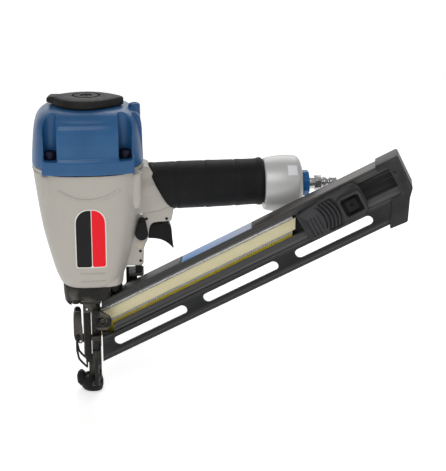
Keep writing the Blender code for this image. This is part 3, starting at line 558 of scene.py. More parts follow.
# ------------------------------------------------------------------ frame of the rail
MAG_Z, MAG_TILT, MAG_SKEW = 83.0, 28.5, 12.0
RAIL_FRAME = (Matrix.Translation((0, 0, MAG_Z * MM)) @ Matrix.Rotation(-math.radians(MAG_SKEW), 4, "Z")
              @ Matrix.Rotation(-math.radians(MAG_TILT), 4, "Y"))


def on_rail(obj):
    """Local rail coordinates to world; the object keeps the rail frame as its own axes."""
    obj.matrix_world = RAIL_FRAME
    return obj


# ------------------------------------------------------------------ housing
POWER = 2.8
PIVOT_X, PIVOT_Z = 45.6, 160.5
ROLL_PINS = ((67.5, 164.6), (49.8, 165.0), (43.9, 135.4), (43.9, 126.4))
CAP = [(217.9, 48.4), (226, 48.0), (236, 47.2), (246, 46.2), (251.5, 45.4), (256.5, 43.9), (260.5, 41.3),
       (263.4, 37.8), (265.0, 34.0), (265.7, 30.0)]
CAP_POWER = 3.0
SCREW_X, SCREW_Y = 31.5, 34.0
PROFILE = [(106.0, 23.9), (107.0, 25.5), (110.0, 27.4), (118.0, 30.7), (126.0, 33.0), (135.0, 35.3),
           (147.0, 38.2), (160.0, 41.0), (175.0, 43.3), (191.0, 45.4), (203.0, 46.8), (217.6, 48.2)]


def barrel_r(z):
    for (z0, r0), (z1, r1) in zip(PROFILE, PROFILE[1:]):
        if z <= z1:
            t = max(0.0, (z - z0) / (z1 - z0))
            return r0 + (r1 - r0) * t
    return PROFILE[-1][1]


def barrel_y(x, z):
    r = barrel_r(z)
    return -r * max(0.0, 1 - abs(x / r) ** POWER) ** (1 / POWER)


def build_housing():
    heights = [106 + 111.6 * i / 60 for i in range(61)]
    barrel = rings("housing_cast", [[(x, y, z) for x, y in super_xy(barrel_r(z), barrel_r(z), POWER, 160)]
                                    for z in heights])
    foot = ((106, 17.5, 23.2, 9.6), (107.2, 18.6, 24.2, 9.8), (112, 19, 24.8, 10), (124, 19, 25.6, 10.6),
            (134, 18, 24, 11))
    corner = rings("corner", [[(x, y, z) for x, y in super_xy(rx, ry, 3.4, 80, (cx, 0))]
                              for z, rx, ry, cx in foot])
    join(barrel, corner)
    # screw bosses that run down from the cap
    for sx, sy in CORNERS:
        x, y, low = (40.2, 33.6, 179) if sx > 0 else (-35.3, 35.0, 186)
        side = smooth_profile([(0, 213), (5.6, 213), (5.0, low + 10), (3.4, low + 3), (0, low)], 1.5)
        join(barrel, turned("boss", side, at=(x, sy * y, 0), count=24))
    web = ([(22, 212), (52, 212), (56, 207), (73.2, 176), (73.9, 172), (72.1, 163), (70.7, 161.8),
            (60, 161.3), (56, 160.8), (53.4, 158.8), (52.2, 155), (51.5, 149), (50.6, 145), (48.4, 141),
            (47.2, 137), (46.6, 122.6), (45, 121.6), (20, 121.6), (20, 160)])
    join(barrel, bevel(prism("web", web, -13, 13), 1.6, 3, 50))
    upper = round_outline([(20, 212.5), (52.0, 212.5), (56, 207), (73.3, 177), (61, 172.5), (20, 166)], 2, 3)
    join(barrel, bevel(prism("upper_web", upper, -15.2, 15.2), 4.0, 4, 50))
    join(barrel, rod("core", 17, 153.5, 30.7, at=(0, 0, 194), axis="X"))
    # hollows
    seat = rings("seat", [[(x, y, z) for x, y in super_xy(46.2, 46.2, CAP_POWER, 120)]
                          for z in (213.0, 222.0)])
    cut(barrel, seat)
    for side in (-1, 1):
        low, high = sorted((side * 42.5, side * 60))
        cut(barrel, box("lap", (-39.6, 39.6), (low, high), (213.9, 230)))
    chamber = [(0, 220), (38, 220), (37, 175), (33.5, 160), (29, 140), (25, 126), (25, 118), (22.5, 118),
               (22.5, 111), (0, 111)]
    # the cutters stand a hair off the joined solids' own vertices, which keeps the body closed
    cut(barrel, turned("chamber", chamber, count=96),
        rod("driver_hole", 5.5, 116, 100, count=32),
        rod("handle_bore", 12.4, 160, 29, at=(0, 0.011, 194.013), axis="X", count=46),
        rod("valve_bore", 6.5, 190, 150, at=(63.013, 0.017, 0), count=30),
        prism("slot", [(38.8, 110), (58, 110), (58, 150), (85, 150), (85, 161.6), (60, 162.6), (52, 165.8),
                       (42, 165.8), (38.8, 163)], -7, 7),
        rod("spring_bore", 2.6, 141, 110, at=(42.513, 10.009, 0), count=22))
    for x, y in ((11.5, 13.5), (11.5, -13.5), (-14.5, 12.5), (-14.5, -12.5)):
        cut(barrel, rod("hole", 2.4, 110, 100, at=(x, y, 0), count=20))
    for sx, sy in CORNERS:
        cut(barrel, rod("hole", 2.9, 216, 196, at=(sx * SCREW_X, sy * SCREW_Y, 0), count=20))
    cut(barrel, rod("pivot_bore", 2.7, 20, -20, at=(PIVOT_X, 0, PIVOT_Z), axis="Y", count=24))
    cast(barrel, 0.62, 6)
    for x, z in ROLL_PINS:
        cut(barrel, rod("dot", 1.15, -11, -15, at=(x, 0, z), axis="Y", count=16))
    return barrel


finish(build_housing(), GREY, replaces=("housing",), angle=60)


def film(name, place, nx, nz, thick):
    """Thin sheet through a grid of points; place(s, t) gives the point at the shares s and t."""
    bm = bmesh.new()
    grid = {(i, k): bm.verts.new(place(i / nx, k / nz)) for i in range(nx + 1) for k in range(nz + 1)}
    for i in range(nx):
        for k in range(nz):
            bm.faces.new((grid[i, k], grid[i + 1, k], grid[i + 1, k + 1], grid[i, k + 1]))
    obj = to_mesh(name, bm)
    solid = obj.modifiers.new("film", "SOLIDIFY")
    solid.thickness, solid.offset = thick * MM, 0.0
    return apply_all(obj)


def surface_patch(name, warp, x_range, z_range, lift, nx):
    """Film that follows the barrel's front; warp(x, z) fits the rectangle to its outline."""
    def place(s, t):
        x, z = warp(x_range[0] + (x_range[1] - x_range[0]) * s, z_range[0] + (z_range[1] - z_range[0]) * t)
        return x, barrel_y(x, z) - lift, z
    return film(name, place, nx, 30, 0.24)


def arch_warp(x0, x1, z0, z1, top_left, top_right, bottom):
    """Map a rectangle on to an arch-topped plate with rounded bottom corners."""
    def top(x):
        if x < x0 + top_left:
            d = (x0 + top_left - x) / top_left
            return z1 - top_left * 1.15 * (1 - math.sqrt(max(0.0, 1 - d * d)))
        if x > x1 - top_right:
            d = (x - x1 + top_right) / top_right
            return z1 - top_right * 1.15 * (1 - math.sqrt(max(0.0, 1 - d * d)))
        return z1

    def low(x):
        for corner, sign in ((x0 + bottom, -1), (x1 - bottom, 1)):
            d = (x - corner) * sign
            if bottom > 0 and d > 0:
                d = min(1.0, d / bottom)
                return z0 + bottom * (1 - math.sqrt(max(0.0, 1 - d * d)))
        return z0

    def warp(x, z):
        t = (z - z0) / (z1 - z0)
        return x, low(x) + (top(x) - low(x)) * t
    return warp


def build_label():
    x0, x1, z0, z1 = -13.0, 13.8, 127.8, 183.6
    full = surface_patch("label_border", arch_warp(x0, x1, z0, z1, 11, 11, 2.5), (x0, x1), (z0, z1), 0.16, 40)
    finish(full, LABEL_WHITE, angle=60)
    mid, edge, gap = 1.2, 0.9, 0.35
    low, high = z0 + edge, z1 - edge
    for name, a, b, corners, mat in (("label_left", x0 + edge, mid - gap, (10.5, 0.01), LABEL_BLACK),
                                     ("label_right", mid + gap, x1 - edge, (0.01, 10.5), LABEL_RED)):
        half = surface_patch(name, arch_warp(a, b, low, high, *corners, 1.8), (a, b), (low, high), 0.30, 30)
        finish(half, mat, angle=60)


build_label()

for side, tag in ((1, "left"), (-1, "right")):
    smile = [(x, side * (barrel_y(x, z) + 0.5), z)
             for x, z in ((26 * i / 14, 200.2 - 8.6 * (1 - (i / 14) ** 2)) for i in range(-14, 15))]
    finish(tube(f"smile_line_{tag}", smile, 1.6), GREY, angle=60)

for i, z in enumerate((121.6, 113.6)):
    ridge = tube(f"body_ridge_{i + 1}", [(x, barrel_y(x, z) - 0.05, z) for x in range(-9, 13, 1)], 0.65)
    finish(ridge, GREY, angle=60)

# roll pins in the flat dark colour, painted shade so they read as dark holes, and the window and rivet around
# the trigger
for i, (x, z) in enumerate(ROLL_PINS):
    pin = turned(f"roll_pin_{i + 1}", smooth_profile(
        [(0, -12.9), (0.5, -12.9), (0.5, -13.25), (1.25, -13.25), (1.35, -13.0), (1.35, -10.8), (0, -10.8)],
        0.12), at=(x, 0, z), axis="Y", count=20)
    finish(pin, SHADE_BLACK)
lock = prism("selector_window", round_outline(rect(41.0, 46.0, 138.2, 144.4), 0.6, 3), -13.2, -12.6)
finish(bevel(lock, 0.1, 2, 40), BONE)
rivet = turned("guard_rivet", smooth_profile(
    [(0, -14.6), (1.6, -14.6), (2.3, -13.8), (2.3, -12.6), (0, -12.6)], 0.4),
    at=(45.0, 0, 170.6), axis="Y", count=24)
finish(rivet, STEEL)

# ------------------------------------------------------------------ cap


def bowed(name, half, depth, front, bow, back, sections, side):
    """Prism with a softly bowed face towards side: sections are (z, width share, inset)."""
    loops = []
    for z, wide, inset in sections:
        across = [2 * i / 40 - 1 for i in range(41)]
        face = [(half * wide * t, side * (front - bow * abs(t) ** depth - inset), z) for t in across]
        rear = [(half * wide * (1 - 2 * i / 8), side * back, z) for i in range(9)]
        loops.append(face + rear)
    return rings(name, loops)


def build_cap():
    pts = smooth_profile(CAP, 3.0, 3)
    cap = rings("cylinder_cap_cast", [[(x, y, z) for x, y in super_xy(r, r, CAP_POWER, 200)] for z, r in pts])
    join(cap, rod("spigot", 45.8, 219, 214.3, count=96))
    for side in (-1, 1):
        # flange that laps over the body, with a rounded upper lip, and the panel between the screw pockets
        flange = [(214.4, 1.0, 0.5), (215.2, 1.0, 0.0), (225.2, 1.0, 0.3), (227.0, 1.0, 0.9),
                  (228.4, 0.995, 2.2), (229.2, 0.99, 4.5)]
        join(cap, bowed("flange", 39.2, 2.6, 50.6, 6.4, 38, flange, side))
        panel = [(224, 1.0, 0.3), (240, 1.0, 0.7), (249, 1.0, 1.3), (253.4, 0.99, 2.2), (256.4, 0.97, 4.0),
                 (258.4, 0.94, 6.6), (259.4, 0.9, 9.5)]
        join(cap, bowed("panel", 26.0, 4.0, 48.7, 2.2, 34, panel, side))
    for sx, sy in CORNERS:
        x, y = sx * SCREW_X, sy * SCREW_Y
        groove = rod("groove", 6.1, 280, 226.0, at=(x, y, 0), count=40)
        low, high = sorted((y, sy * 60))
        join(groove, prism("mouth", rect(x - 5.4, x + 5.4, 226.0, 280), low, high))
        cut(cap, groove)
    # port boss on the rear shoulder with the rib under it
    port = (41.2, -4.5, 0)
    boss = turned("boss", smooth_profile(
        [(0, 267.6), (3.4, 267.6), (5.1, 266.4), (5.5, 240), (3, 232), (0, 230)], 0.8), at=port, count=40)
    cut(boss, turned("dimple", [(0, 270), (2.6, 270), (2.2, 266.4), (0, 266.4)], at=port, count=24))
    join(cap, boss)
    rib_outline = round_outline([(36, 222), (47.4, 222), (46.9, 250), (45.6, 258), (42, 262.4), (36, 262.4)],
                                2.0, 3)
    rib = bevel(prism("rib", rib_outline, -21, -11.5), 1.5, 3, 50)
    join(cap, rib)
    chamber = [(0, 254.6), (26, 254.6), (30, 252), (38, 244), (39, 214), (39, 206), (0, 206)]
    cut(cap, turned("chamber", chamber, count=96))
    cut(cap, rod("bore", 3.1, 270, 250, count=24))
    for i in range(4):
        a = math.radians(45 + 90 * i)
        cut(cap, rod("port", 3.6, 270, 250,
                        at=(13.5 * math.cos(a), 13.5 * math.sin(a), 0), count=24))
    for sx, sy in CORNERS:
        cut(cap, rod("hole", 2.9, 230, 208, at=(sx * SCREW_X, sy * SCREW_Y, 0), count=20))
    return cast(cap, 0.55, 12)


finish(build_cap(), BLUE, replaces=("cylinder_cap",), angle=60)

for side, tag in ((-1, "left"), (1, "right")):
    for end, where in ((-1, "front"), (1, "rear")):
        x, y = end * SCREW_X, side * SCREW_Y
        head = turned(f"cap_screw_{where}_{tag}_fine", smooth_profile(
            [(0, 229.2), (2.1, 229.2), (2.1, 233.4), (4.0, 233.4), (4.8, 232.8), (4.8, 226.1), (2.6, 226.1),
             (2.6, 199), (0, 199)], 0.35), at=(x, y, 0), count=40)
        cut(head, prism("hex", polygon(x, y, 2.6, 6, 0), 230.4, 238, "XY"))
        for kx, ky in polygon(x, y, 4.85, 16, 0):
            cut(head, box("knurl", (kx - 0.2, kx + 0.2), (ky - 0.2, ky + 0.2), (227.4, 232.2)))
        finish(head, SCREW, replaces=(f"cap_screw_{where}_{tag}",))

# ------------------------------------------------------------------ exhaust deflector
def build_deflector():
    """Pointed eye with one square tab, drawn up with a soft rim."""
    front, back, turn = -28.6, 21.6, math.radians(-9)
    outline = [(33.4, 0.0)]
    side = [(1.0, 0.0), (0.86, 0.27), (0.7, 0.5), (0.5, 0.74), (0.27, 0.93), (0.0, 1.0), (-0.26, 0.94),
            (-0.48, 0.78), (-0.66, 0.56), (-0.8, 0.36), (-0.88, 0.29)]
    outline += [(x * 33.4, y * back) for x, y in side[1:]] + [(-33.6, 7.6), (-33.6, -8.0)]
    outline += [(x * 33.4, y * front) for x, y in reversed(side[1:])]
    outline = round_outline(round_outline(outline, 3.0, 3), 0.6, 2)
    outline = [(x * math.cos(turn) - y * math.sin(turn), x * math.sin(turn) + y * math.cos(turn))
               for x, y in outline]

    def loop(scale, inset, z):
        out = []
        for x, y in outline:
            length = math.hypot(x, y) or 1
            k = max(0.0, (length - inset) / length)
            out.append((x * k * scale, y * k * scale, z))
        return out
    body = rings("exhaust_deflector_fine", [loop(1, 0.9, 266.3), loop(1, 0.1, 267.0), loop(1, 0.0, 271.4),
                                            loop(1, 0.5, 272.6), loop(1, 1.4, 273.2), loop(1, 3.0, 273.5),
                                            loop(1, 8.0, 273.75), loop(0.55, 8.0, 273.9)])
    cut(body, turned("chamber", [(0, 269), (12, 269), (13, 268), (13, 250), (0, 250)]),
        box("outlet", (-45, 0), (-6.5, 6.5), (250, 269)),
        turned("ring", [(10.4, 272.7), (12.4, 272.7), (12.6, 280), (10.2, 280)]),
        turned("well", [(0, 271.4), (5.4, 271.4), (5.8, 280), (0, 280)]),
        rod("bore", 3.2, 280, 250, count=32))
    return bevel(body, 0.35, 2, 40)


finish(build_deflector(), DEFLECT, "deflector", ("exhaust_deflector",), 40)
screw = turned("deflector_screw_fine", smooth_profile(
    [(0, 270.9), (1.7, 270.9), (1.7, 273.1), (3.9, 273.1), (4.6, 272.6), (4.6, 271.7), (2.8, 271.7),
     (2.8, 256), (0, 256)], 0.3), count=32)
finish(screw, PHOS, replaces=("deflector_screw",))

# ------------------------------------------------------------------ handle
HANDLE_Z, BELL_Z = 194.0, 190.5
SEAMS = (76.5, 102.5, 129.0)


def grip_radius(x, theta, front):
    """Outer radius of the sleeve at a place along it, with rolled ends and shallow seams."""
    r = 20.6 + 0.35 * math.cos((x - 90) / 26)
    d = x - front
    r += 0.55 * math.exp(-((d - 2.0) / 1.8) ** 2) - 0.9 * math.exp(-(d / 0.9) ** 2)
    e = 154.0 - x
    r += 0.95 * math.exp(-((e - 3.0) / 2.6) ** 2) - 1.0 * math.exp(-(e / 0.9) ** 2)
    for k, seam in enumerate(SEAMS):
        q = x - seam - 0.8 * math.sin(theta * 2 + k)
        r -= 0.42 * math.exp(-(q / 0.75) ** 2)
        r += 0.22 * math.exp(-((q - 3.2) / 2.6) ** 2)
    return r + 0.12 * math.sin(3 * theta + x / 17)


def build_grip():
    around, along = 128, 230
    loops = []
    for k in range(around):
        theta = math.tau * k / around
        loop = []
        for i in range(along + 1):
            t = i / along
            z = HANDLE_Z + 21 * math.sin(theta)
            front = 52.6 + 20.5 * min(1.0, max(0.0, (214.5 - z) / 43)) ** 1.25
            x = front + (154.0 - front) * t
            r = grip_radius(x, theta, front)
            drop = -2.6 + 1.9 * (x - 55) / 99
            loop.append((x, r * math.cos(theta), HANDLE_Z + drop + r * math.sin(theta)))
        front = loop[0][0]
        for x in (154.0, (154 + front) / 2, front):
            loop.append((x, 17.4 * math.cos(theta), HANDLE_Z + 17.4 * math.sin(theta)))
        loops.append(loop)
    return rings("grip_sleeve_fine", loops, False, True)


finish(build_grip(), RUBBER, replaces=("grip_sleeve",), angle=60)

bell_profile = [
    (11.3, 188.0), (19.2, 188.0), (20.6, 187.5), (23.4, 186.0), (24.9, 183.4), (25.5, 179.6), (25.6, 175),
    (25.4, 170), (24.8, 164), (24.0, 159), (23.0, 155.4), (22.2, 154.5), (17.3, 154.5), (11.3, 154.5)]
bell = turned("end_bell_fine", smooth_profile(bell_profile + [bell_profile[0]], 1.4, 4)[:-1],
              at=(0, 0, BELL_Z), axis="X", count=128)
finish(bell, BELL, replaces=("end_bell",), angle=50)


def bell_r(x):
    points = sorted((h, r) for r, h in bell_profile if r > 20)
    for (x0, r0), (x1, r1) in zip(points, points[1:]):
        if x0 <= x <= x1:
            return r0 + (r1 - r0) * (x - x0) / (x1 - x0)
    return 24.0


def on_bell(s, t):
    """Point of the sticker on the bell's front shoulder."""
    x = 174.2 + 8.4 * s
    a = math.radians(30 + 22 * t)
    r = bell_r(x) + 0.12
    return x, -r * math.cos(a), BELL_Z + r * math.sin(a)


finish(film("bell_sticker_light", on_bell, 16, 16, 0.16), BELL_STICKER)

plug_outline = round_outline(polygon(0, BELL_Z, 10.9 / math.cos(math.pi / 8), 8), 0.8, 3)
plug = prism("end_plug_fine", plug_outline, 188.3, 195.3, "YZ")
bell_axis = {"at": (0, 0, BELL_Z), "axis": "X"}
join(plug, rod("neck", 10.2, 189, 177, count=48, **bell_axis))
cut(plug, turned("bore", [(0, 210), (5.9, 210), (5.3, 196), (5.3, 170), (0, 170)], **bell_axis))
finish(bevel(plug, 0.7, 3, 40), PLUG, replaces=("end_plug",))

nipple = smooth_profile([
    (2.4, 221), (4.2, 221), (4.9, 220.2), (4.9, 215.2), (3.5, 213.8), (3.5, 211.8), (5.5, 211.2),
    (5.5, 209.0), (4.1, 208.4), (4.1, 207.4), (5.5, 207.0), (5.5, 195.6), (4.9, 195.4), (4.9, 180),
    (2.4, 180), (2.4, 221)], 0.45)[:-1]
air_plug = turned("air_plug_fine", nipple, count=64, **bell_axis)
nut = prism("nut", polygon(0, BELL_Z, 7.1, 6), 201.0, 207.0, "YZ")
cut(nut, rod("core", 5.3, 210, 190, **bell_axis))
air_plug = joined("air_plug_fine", [air_plug, bevel(nut, 0.55, 3, 40)])
finish(air_plug, STEEL, replaces=("air_plug",))

# ------------------------------------------------------------------ trigger and selector
trigger_outline = (
    arc(PIVOT_X, PIVOT_Z, 4.0, 230, 60, 12)
    + [(53.5, 158.6), (66.0, 158.6), (69.4, 158.0), (71.2, 156.4), (72.2, 153.6), (72.6, 149), (72.9, 144),
       (73.6, 138), (74.0, 135.6), (73.2, 135.2), (71.6, 137.2), (69.6, 139.2), (66.8, 141.4), (63.0, 143.3),
       (58.6, 144.5), (54.6, 144.9), (51.6, 144.9), (51.2, 147.6), (51.2, 151.4), (47.0, 153.6)])
trigger = bevel(prism("trigger_fine", trigger_outline, -6.7, 6.7), 0.8, 4, 40)
cut(trigger,
    prism("pocket", [(53.5, 151.4), (70.0, 148.6), (70.0, 165), (53.5, 165)], -4.2, 4.2),
    rod("bore", 2.6, 20, -20, at=(PIVOT_X, 0, PIVOT_Z), axis="Y", count=32),
    prism("nose", [(38, 140), (50.8, 140), (50.8, 170), (38, 170)], -4.2, 4.2))
finish(trigger, BLACK, "trigger", ("trigger",))

pear = arc(PIVOT_X, 163.9, 3.1, 5, 175, 14) + arc(PIVOT_X - 0.4, 151.9, 5.8, 165, 378, 30)
selector = bevel(prism("selector_lever_fine", pear, -17.0, -13.4), 1.0, 4, 50)
join(selector, rod("pin", 2.3, 16, -15, at=(PIVOT_X, 0, PIVOT_Z), axis="Y", count=32),
     turned("far", smooth_profile([(0, 15.6), (3.6, 15.6), (4.2, 15), (4.2, 13.4), (0, 13.4)], 0.5),
            at=(PIVOT_X, 0, PIVOT_Z), axis="Y", count=32),
     turned("dome", smooth_profile([(0, -17.7), (2.0, -17.7), (2.7, -17.1), (2.9, -16.4), (0, -16.4)], 0.5),
            at=(PIVOT_X, 0, 162.0), axis="Y", count=32))
finish(selector, BLACK, "selector", ("selector_lever",))

# ------------------------------------------------------------------ magazine rail
SLOTS = [41.2 + 91.9 * i for i in range(3)]


def stadium(u, v, length, height):
    half = (length - height) / 2
    return arc(u + half, v, height / 2, -90, 90, 16) + arc(u - half, v, height / 2, 90, 270, 16)


rail_profile = [
    (-12, 0), (-9.5, 0), (-9.1, -0.4), (-8.7, 0), (9, 0), (9.4, -0.4), (9.8, 0), (12, 0), (12, -34.2),
    (-8, -34.2), (-8, -50.5), (-11.4, -50.5), (-12, -49.9), (-12, -48.0), (-11.6, -47.7), (-11.6, -47.3),
    (-12, -47.0),
    (-12, -31.6), (-11.6, -31.3), (-11.6, -30.9), (-12, -30.6), (-12, -29.5), (-10.6, -29.5), (-10.6, -26.2),
    (-12, -26.2), (-12, -22.8), (-8, -22.8), (-8, -31.2), (9, -31.2), (9, -3), (-9.4, -3), (-9.4, -5.5),
    (-12, -5.5),
    (-12, -3.4), (-11.7, -3.1), (-12, -2.8)]
rail = prism("magazine_body_fine", rail_profile, -30.0, 295.0, "YZ")
for u in SLOTS:
    cut(rail, prism("slot", stadium(u, -39.0, 74.5, 8.8), -16, -4))
world_cut = box("front", (-60, 8.4), (-60, 60), (0, 160))
world_cut.matrix_world = RAIL_FRAME.inverted()
cut(rail, world_cut)
eye_cut = prism("eye", [(8, 84), (18, 84), (18.6, 60), (8, 60)], -40, -10.6)
eye_cut.matrix_world = RAIL_FRAME.inverted()
cut(rail, eye_cut)
lug = prism("lug", [(17.6, 91.4), (26, 96.1), (24.6, 102.6), (21.4, 104.5), (17.6, 102.6)], -2.8, 2.8)
lug.matrix_world = RAIL_FRAME.inverted()
join(rail, lug)
lug_hole = rod("hole", 2.2, 12, -12, at=(21.0, 0, 100.8), axis="Y", count=24)
lug_hole.matrix_world = RAIL_FRAME.inverted()
cut(rail, lug_hole)
cut(rail, prism("heel", [(297.7, -35.2), (286.5, -53.3), (286.5, -60), (310, -60), (310, -35.2)], -20, 20))
bevel(rail, 0.28, 2, 40)
on_rail(rail)
finish(rail, RAIL, replaces=("magazine_body",))


def rail_strip(name, outline, low, high, mat, width=0.05):
    strip = prism(name, outline, low, high, "XY")
    if width:
        bevel(strip, width, 2, 40)
    finish(on_rail(strip), mat)


# top cover strips: the rear one in the lighter rail copy (painted light), the front one in the darker copy
# (painted shade)
rear_cover = round_outline(rect(166.5, 284.6, -11.4, 11.2), 0.8, 3)
rail_strip("rail_top_cover_rear", rear_cover, 0.02, 0.34, RAIL_TOP_LIT)
rail_strip("rail_top_cover_front", round_outline(rect(26, 92.0, -11.4, 11.2), 0.8, 3), 0.02, 0.30, RAIL_SHADE)
rail_strip("rail_edge_line", rect(150, 284.6, -12.02, -11.6), 0.0, 0.22, COPPER, width=0)
rail_strip("rail_sticker_colour", round_outline([(95, -11.2), (165, -11.2), (163, 11.0), (93, 11.0)], 1.2, 3),
           0.02, 0.16, RAIL_STICKER)
# thin ribs in the lighter rail copy: painted highlight lines along the channel
for i, v in enumerate((-12.4, -18.0, -24.6)):
    rib_outline = round_outline(rect(8.55, 9.4, v - 1.0, v + 1.0), 0.3, 3)
    finish(on_rail(prism(f"channel_rib_{i + 1}", rib_outline, 150.0, 294.9, "YZ")), RAIL_TOP_LIT)

# ------------------------------------------------------------------ nails, tape and glue
LEAN = math.tan(math.radians(MAG_TILT))
PITCH, STRIP_LENGTH = 2.04, 201


def build_nails():
    bm = bmesh.new()
    lean = Matrix.Rotation(math.radians(MAG_TILT), 4, "Y")
    # head and shank as (radius, height) rings; the head is flat on the side against the next nail
    profile = [(0.86, -25.0 + 0.15), (0.86, -1.7), (1.1, -1.3), (1.5, -1.05), (1.62, -0.85), (1.62, -0.2),
               (1.4, 0.0)]
    seg = 12
    for i in range(int(STRIP_LENGTH / PITCH)):
        u = 1.4 + PITCH * i
        place = Matrix.Translation((u, 0, -8.6)) @ lean
        rows = [[bm.verts.new(place @ Vector((min(0.95, x), y, z))) for x, y in polygon(0, 0, r, seg, 0)]
                for r, z in profile]
        tip = bm.verts.new(place @ Vector((0, 0, -26.6)))
        for a, b in zip(rows, rows[1:]):
            for k in range(seg):
                j = (k + 1) % seg
                bm.faces.new((a[k], a[j], b[j], b[k]))
        for k in range(seg):
            bm.faces.new((rows[0][(k + 1) % seg], rows[0][k], tip))
        bm.faces.new(rows[-1])
    return to_mesh("nail_strip_fine", bm)


nails = on_rail(build_nails())
finish(nails, NAIL, replaces=("nail_strip",), angle=50)


def build_tape():
    """Paper tape pressed over the shanks, so every nail shows as a soft ridge."""
    bm = bmesh.new()
    nu, nv = 1180, 8
    grid = {}
    for i in range(nu + 1):
        for k in range(nv + 1):
            v = -10.8 - 9.3 * k / nv
            u = 1.0 + 202.0 * i / nu - (v + 8.6) * -LEAN
            ridge = 0.5 + 0.5 * math.cos(math.tau * (u - 1.4 - (v + 8.6) * LEAN) / PITCH)
            wave = 0.06 * math.sin(u / 7.3) + 0.05 * math.sin(u / 2.9 + v)
            grid[i, k] = bm.verts.new((u, -1.42 - 0.10 * ridge - wave, v + 0.08 * math.sin(u / 5.1)))
    for i in range(nu):
        for k in range(nv):
            bm.faces.new((grid[i, k], grid[i, k + 1], grid[i + 1, k + 1], grid[i + 1, k]))
    obj = to_mesh("paper_tape_fine", bm)
    solid = obj.modifiers.new("film", "SOLIDIFY")
    solid.thickness, solid.offset = 0.18 * MM, 0.0
    return on_rail(apply_all(obj))


finish(build_tape(), PAPER, replaces=("paper_tape",), angle=60)

# ------------------------------------------------------------------ pusher
def build_pusher():
    """Moulded slide: fluted front block, thumb ribs in a scallop, and a raised frame for the button."""
    outer = round_outline([(206, -7.0), (209, -5.6), (236, -2.2), (261, -1.8), (265.4, -5.4), (266, -23),
                           (258.5, -32.6), (209, -32.6), (206, -28)], 2.6, 5)
    plate = bevel(prism("pusher_fine", outer, -17.4, -12.4), 1.1, 4, 40)
    scallop = round_outline([(224.6, -5.2), (241.6, -4.4), (241.6, -31.0), (224.6, -31.2)], 4.5, 6)
    cut(plate, prism("scallop", scallop, -18.0, -15.4))
    for i in range(4):
        at = 211.4 + 3.35 * i
        groove = round_outline([(at, -30.6 + 0.2 * i), (at + 1.7, -30.6), (at + 1.7, -13.4), (at, -13.4)],
                               0.84, 5)
        cut(plate, prism("groove", groove, -18, -16.3))
    for i in range(5):
        sweep = [(203.6 + 3.5 * i + 22 * math.cos(math.radians(a)), -18.0 + 20.5 * math.sin(math.radians(a)))
                 for a in range(-34, 35, 4)]
        points = [(u, -15.7 - 1.7 * max(0.0, 1 - ((v + 18) / 13.0) ** 2) ** 0.5, v) for u, v in sweep]
        join(plate, tube("rib", points, 1.15, resolution=3))
    shoe = prism("shoe", [(204, -3.8), (262, -3.8), (262, -22.2), (250, -30.4), (204, -30.4)], -7.4, 8.4)
    neck = box("neck", (207, 261), (-13.5, -7), (-22.2, -6.2))
    pad = bevel(prism("pad", round_outline(rect(241.8, 264.6, -29.4, -8.0), 4.2, 6), -19.6, -14), 1.0, 4, 40)
    join(plate, shoe, neck, pad)
    recess = prism("recess", round_outline(rect(244.8, 261.8, -26.8, -10.8), 2.6, 5), -30, -14.2)
    cut(plate, bevel(recess, 0.2, 1),
        box("pocket", (222, 242), (-5.4, 5.4), (-27.5, -7.5)),
        box("exit", (200, 232), (-5.4, 5.4), (-27.5, -25.8)))
    return on_rail(bevel(plate, 0.3, 2, 45))


finish(build_pusher(), PUSHER, "pusher", ("pusher",), 45)
# dark sheet on the floor of the button recess: painted shade
recess = prism("pusher_recess_face", round_outline(rect(245.0, 261.6, -26.6, -11.0), 2.4, 5), -14.5, -13.9)
finish(on_rail(recess), SHADE_BLACK, "pusher")
button = bevel(prism("pusher_button_fine", round_outline(rect(247.6, 258.8, -24.0, -13.6), 2.4, 6),
                     -18.4, -16.7), 0.7, 4, 40)
cut(button, rod("hole", 1.2, -30, -17, at=(253, 0, -18.4), axis="Y", count=24))
finish(on_rail(button), BLACK, "pusher_button", ("pusher_button",))

# ------------------------------------------------------------------ rear end cap of the rail
def build_end_cap():
    outline = round_outline([(285, 1.6), (304.6, 1.6), (305.8, 0.6), (305.0, -29.8), (299.2, -36.2),
                             (296, -40), (284, -33)], 1.4, 4)
    body = bevel(prism("magazine_end_cap_fine", outline, -13.6, 13.6), 1.0, 4, 40)
    foot = bevel(prism("foot", round_outline([(284.0, -32.2), (302.4, -32.2), (299.0, -36.4), (288.0, -54.4),
                                              (271.6, -53.4)], 1.4, 4), -14.0, 13.8), 0.9, 3, 40)
    lip_outline = round_outline([(284.8, 1.8), (305.2, 1.8), (305.2, -3.4), (284.8, -2.6)], 0.9, 3)
    lip = bevel(prism("lip", lip_outline, -14.0, 13.8), 0.6, 3, 40)
    socket = [(200, 0.4), (295.3, 0.4), (295.3, -39.8), (288.4, -50.9), (200, -50.9)]
    for piece in (body, foot, lip):
        cut(piece, prism("socket", socket, -12.4, 12.4))
    window = round_outline([(270, -3.0), (294.6, -3.0), (294.6, -30.8), (270, -30.8)], 3.2, 6)
    for piece in (body, lip):
        cut(piece, prism("window", window, -20, -11))
    cut(body, rod("hole", 0.8, -20, -11, at=(297.6, 0, -10.4), axis="Y", count=20))
    for z in (-9.0, -25.0):
        cut(body, rod("thread", 1.9, 16, 9, at=(290.4, 0, z), axis="Y", count=20))
    return on_rail(joined("magazine_end_cap_fine", [body, foot, lip]))


finish(build_end_cap(), PUSHER, replaces=("magazine_end_cap",))

